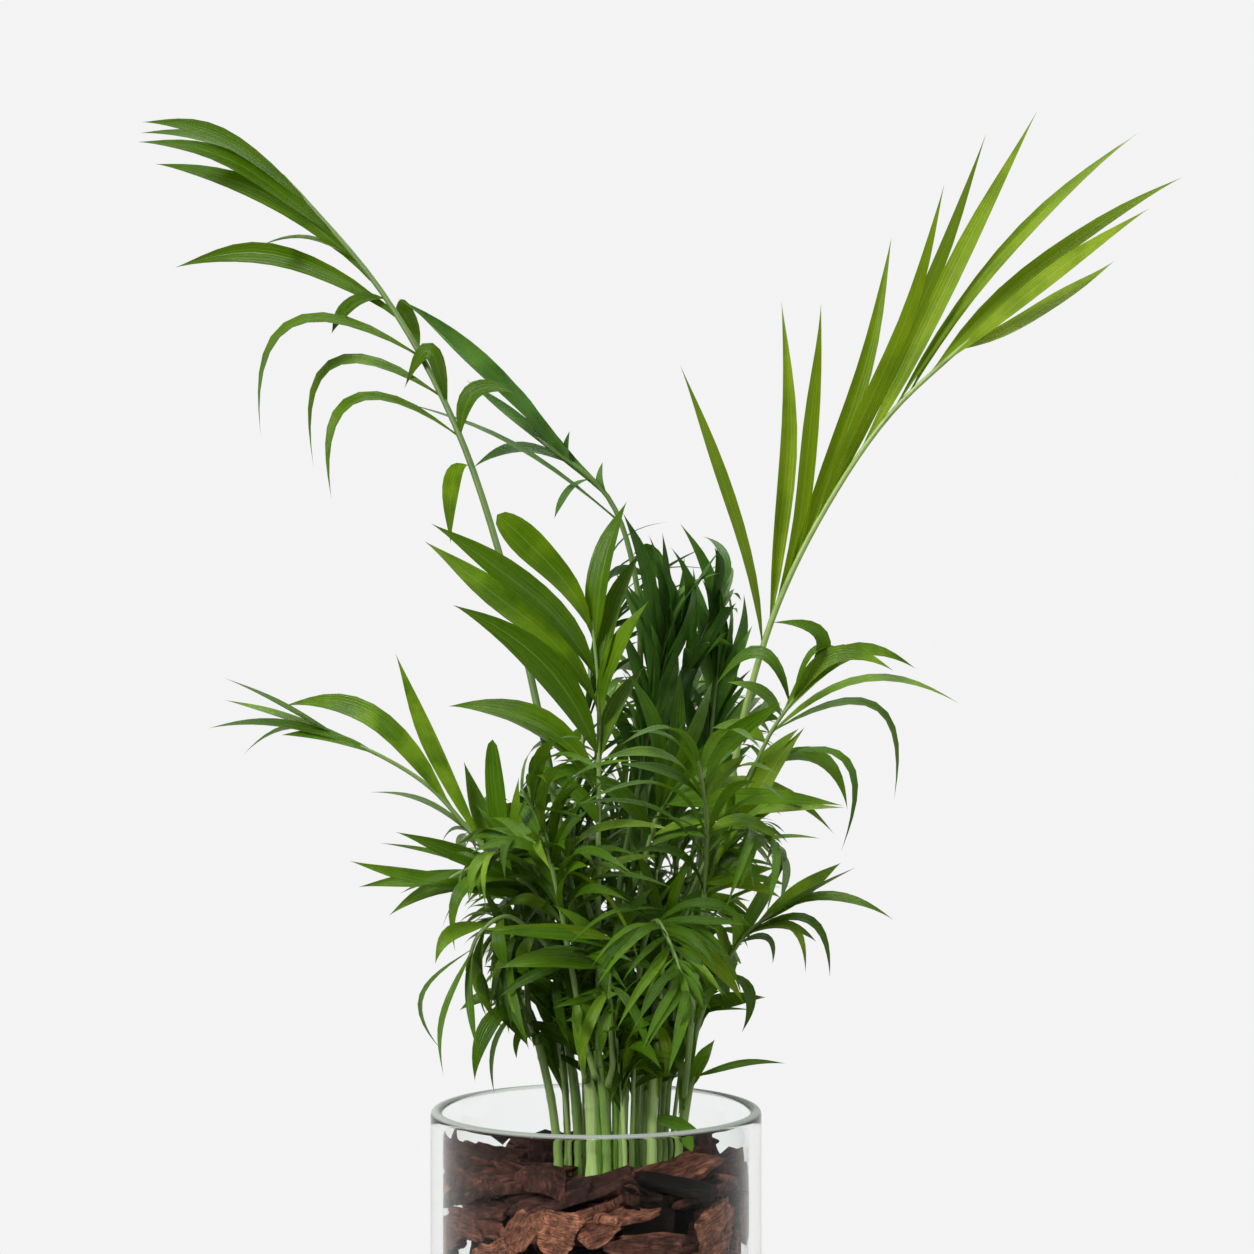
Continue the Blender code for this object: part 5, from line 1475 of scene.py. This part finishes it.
def makeShoots(draw):
    # a thin stalk for each shoot, a circle carried along its route, with narrow leaflets on its upper part
    look = shootLook
    leaves = []
    stalks = []
    for number, shoot in enumerate(shoots):
        route = evenly(through(stemRoute(shoot), 6), look["stations"])
        route[0] = route[0] - Vector((0, 0, look["buried"]))
        radii = shoot[5] * np.linspace(*look["thins"], len(route))
        stalks.append(tubeGrid(asArray(route), radii, look["sides"]))
        leaves += fillLeaves(
            f"shoot {number}", route, look["leafy"], look["leafStep"], look["leafLength"], look["leafWidths"],
        )
    grids, maps = leafGrids(leaves, draw, 1.0)
    # painted shade towards the middle of the clump
    tones = paintedShadeTones(leaves, draw.normal(look["tone"], 0.28, (len(leaves), 1, 1)), look["inner"])
    gridPiece(
        "shoot_leaflets", grids, bpy.data.materials["leaf_fresh"], "leaf_green", maps=maps,
        tones=np.clip(tones, -0.5, 1),
    )
    stalks = np.stack(stalks)
    maps = ribMaps(np.linspace(0, 1, look["sides"], endpoint=False), np.linspace(0, 3, look["stations"]))
    tones = draw.choice(look["stalkTones"], (len(stalks), 1, 1))
    gridPiece(
        "shoot_stalks", stalks, bpy.data.materials["stalk_skin"], "stem_green",
        maps=np.broadcast_to(maps, (len(stalks), *maps.shape[1:])), tones=tones, wrap=True, caps=True,
    )
    print("shoots:", len(shoots), "with", len(leaves), "leaflets")
    return len(leaves)


# leaflets that the photograph shows one by one, each rooted on the nearest stem, rib or shoot:
# root x and z as seen, tip x and z as seen, how far the tip comes forward, rise, width, green and tone
strayLeaves = (
    (12, 292, 5, 257, 6, 0.05, 8.5, "bright", 0.35),
    (28, 287, 67, 247, 8, 0.12, 7.5, "bright", 0.25),
    (10, 276, -53, 281, 8, 0.03, 6.5, "bright", 0.1),
    (2, 262, -45, 263, 8, 0.1, 9.0, "fresh", 0.6),
    (56, 322, 94, 372, 2, 0.04, 8.5, "bright", 0.45),
    (58, 308, 79, 321, 8, 0.1, 6.5, "bright", 0.1),
    (52, 299, 84, 295, 8, 0.12, 6.0, "bright", 0.1),
    (27, 190, 49, 187, 6, 0.08, 6.0, "fresh", 0.5),
    (34, 187, 43, 180, 8, 0.1, 5.5, "fresh", 0.5),
    (44, 213, 86, 220, 0, 0.08, 3.2, "fresh", 0.3),
    (22, 196, 25, 248, 3, 0.03, 6.5, "bright", 0.45),
    (26, 192, 21, 238, 5, 0.03, 5.0, "bright", 0.2),
    (13, 198, 14, 240, 3, 0.03, 4.5, "bright", 0.15),
    (-6, 246, -5, 214, 5, 0.12, 5.5, "fresh", 0.75),
    (3, 250, -8, 218, 6, 0.16, 5.5, "fresh", 0.8),
    (9, 244, 2, 222, 6, 0.16, 5.0, "fresh", 0.6),
    (20, 238, 12, 212, 8, 0.2, 5.0, "bright", 0.35),
    (24, 236, 31, 214, 6, 0.2, 5.0, "bright", 0.2),
    (36, 238, 40, 214, 6, 0.2, 5.0, "fresh", 0.7),
    (33, 347, 84, 384, 52, 0.03, 9.0, "fresh", 0.3),
    (30, 347, 4, 378, 40, 0.1, 7.5, "fresh", 0.15),
    (29, 334, 112, 337, 60, 0.04, 8.0, "fresh", 0.6),
    (22, 321, -2, 351, 34, 0.08, 7.0, "fresh", 0.2),
    (-33, 325, 7, 354, 8, 0.25, 4.5, "fresh", 0.15),
    (-14, 262, -44, 250, 4, 0.1, 5.0, "fresh", 0.1),
    (-18, 258, -12, 228, 5, 0.16, 4.5, "fresh", 0.2),
    (-26, 240, -36, 222, 4, 0.14, 3.5, "fresh", 0.7),
    (8, 252, 24, 222, 8, 0.22, 4.5, "fresh", 0.4),
    (16, 224, 6, 200, 6, 0.2, 4.0, "fresh", 0.5),
    (33, 222, 37, 196, 6, 0.16, 5.0, "fresh", 0.6),
    (17, 210, 11, 239, 6, 0.05, 8.0, "bright", 0.3),
    (25, 208, 32, 242, 6, 0.06, 8.0, "bright", 0.2),
    (31, 214, 17, 243, 8, 0.1, 6.5, "fresh", 0.9),
    (12, 266, 18, 242, 8, 0.06, 9.0, "fresh", 0.15),
    (-4, 234, 12, 252, 8, 0.2, 6.0, "fresh", 0.7),
    (3, 330, -30, 357, 8, 0.12, 6.5, "fresh", 0.5),
    (6, 352, -36, 330, 10, 0.28, 5.5, "fresh", 0.3),
    (-22, 305, 20, 262, 12, 0.3, 1.8, "bright", 0.6),
    (-24, 300, -2, 336, 10, 0.1, 6.0, "fresh", 0.4),
    (36, 236, 77, 250, 8, 0.1, 5.5, "fresh", 0.5),
)


def makeStrays(routes, draw):
    # the same leaflets as the fronds', rooted on whichever route is seen nearest, the foremost first
    places = [place for route in routes for place in evenly(route, 60)]
    spots = [asSeen(place) for place in places]
    for green in ("bright", "fresh"):
        look = greens[green]
        leaves = []
        tones = []
        for x, z, tipX, tipZ, forward, rise, width, shade, tone in strayLeaves:
            if shade != green:
                continue
            reach = frondLook["strayReach"]
            near = [place for place, spot in zip(places, spots) if math.hypot(spot.x - x, spot.z - z) < reach]
            if not near:
                continue
            root = min(near, key=lambda place: place.y)
            tip = seen(tipX, tipZ, root.y - forward)
            up = upward(tip - root, root)
            leaf = (sunk(root, tip), tip, up, rise, 0.0, width, frondLook["pointed"], eye - root)
            leaves.append((*leaf, Vector((0, 0, 0))))
            tones.append(tone)
        grids, maps = leafGrids(leaves, draw, 1.0)
        gridPiece(
            "stray_leaflets_" + green, grids, bpy.data.materials[look["material"]], look["slot"], maps=maps,
            tones=np.array(tones)[:, None, None],
        )
        print("stray", green, "leaflets:", len(leaves))


def makePlant():
    # stems, then every frond as it was packed, then the shoots and the single leaflets
    makeStems()
    for look in greens.values():
        leafMaterial(look)
    skinMaterial("rib_skin", ribSkin)
    draw = np.random.default_rng(11)
    jobs = [(frond, shownRib, shownLeaves, shownWays) for frond in shownFronds]
    jobs += [(frond, tierRib, tierLeaves, tierWays) for frond in tierFronds()]
    total = 0
    routes = [through(stemRoute(stem), 4) for stem in (*stems.values(), *shoots)]
    for frond, ribOf, leavesOf, ways in jobs:
        crown = "crown" in frond["name"]
        frond = {"green": "deep" if crown else "fresh", "finer": 1, "slim": 0.56} | frond
        frond |= frondDress.get(frond["name"], {})
        rib, leaves = settledFrond(frond, ribOf, leavesOf, ways)
        if ribOf is tierRib:
            # how much painted shade darkens its leaflets towards the middle of the clump
            frond["inner"] = tierLook["crownPaintedShade"] if crown else tierLook["inner"]
            rib, leaves = trimmed(rib, leaves)
        routes.append(rib)
        fine = evenly(through(rib, 4), 150)
        leaves = [(*leaf, hugging(fine, leaf, frond.get("hug", 1.0))) for leaf in leaves]
        finer = moreLeaves(frond, rib, leaves) if frond["finer"] else []
        if ribOf is tierRib:
            finer = [leaf for leaf in finer if heldIn(leaf[0], leaf[1])]
            step = frond.get("fillStep", tierLook["fillStep"])
            reach = frond["length"] * tierLook["fillLength"]
            finer += fillLeaves(frond["name"], rib, tierLook["fillFrom"], step, reach, tierLook["fillWidths"])
        total += makeFrond(frond, rib, leaves + finer, draw)
        print(frond["name"], "leaflets", len(leaves), "and finer", len(finer))
    total += makeShoots(draw)
    makeStrays(routes, draw)
    print("fronds:", len(jobs), "with", total, "leaflets")


makeCamera()
makeStudio()
makeVase()
makeBark()
makePlant()
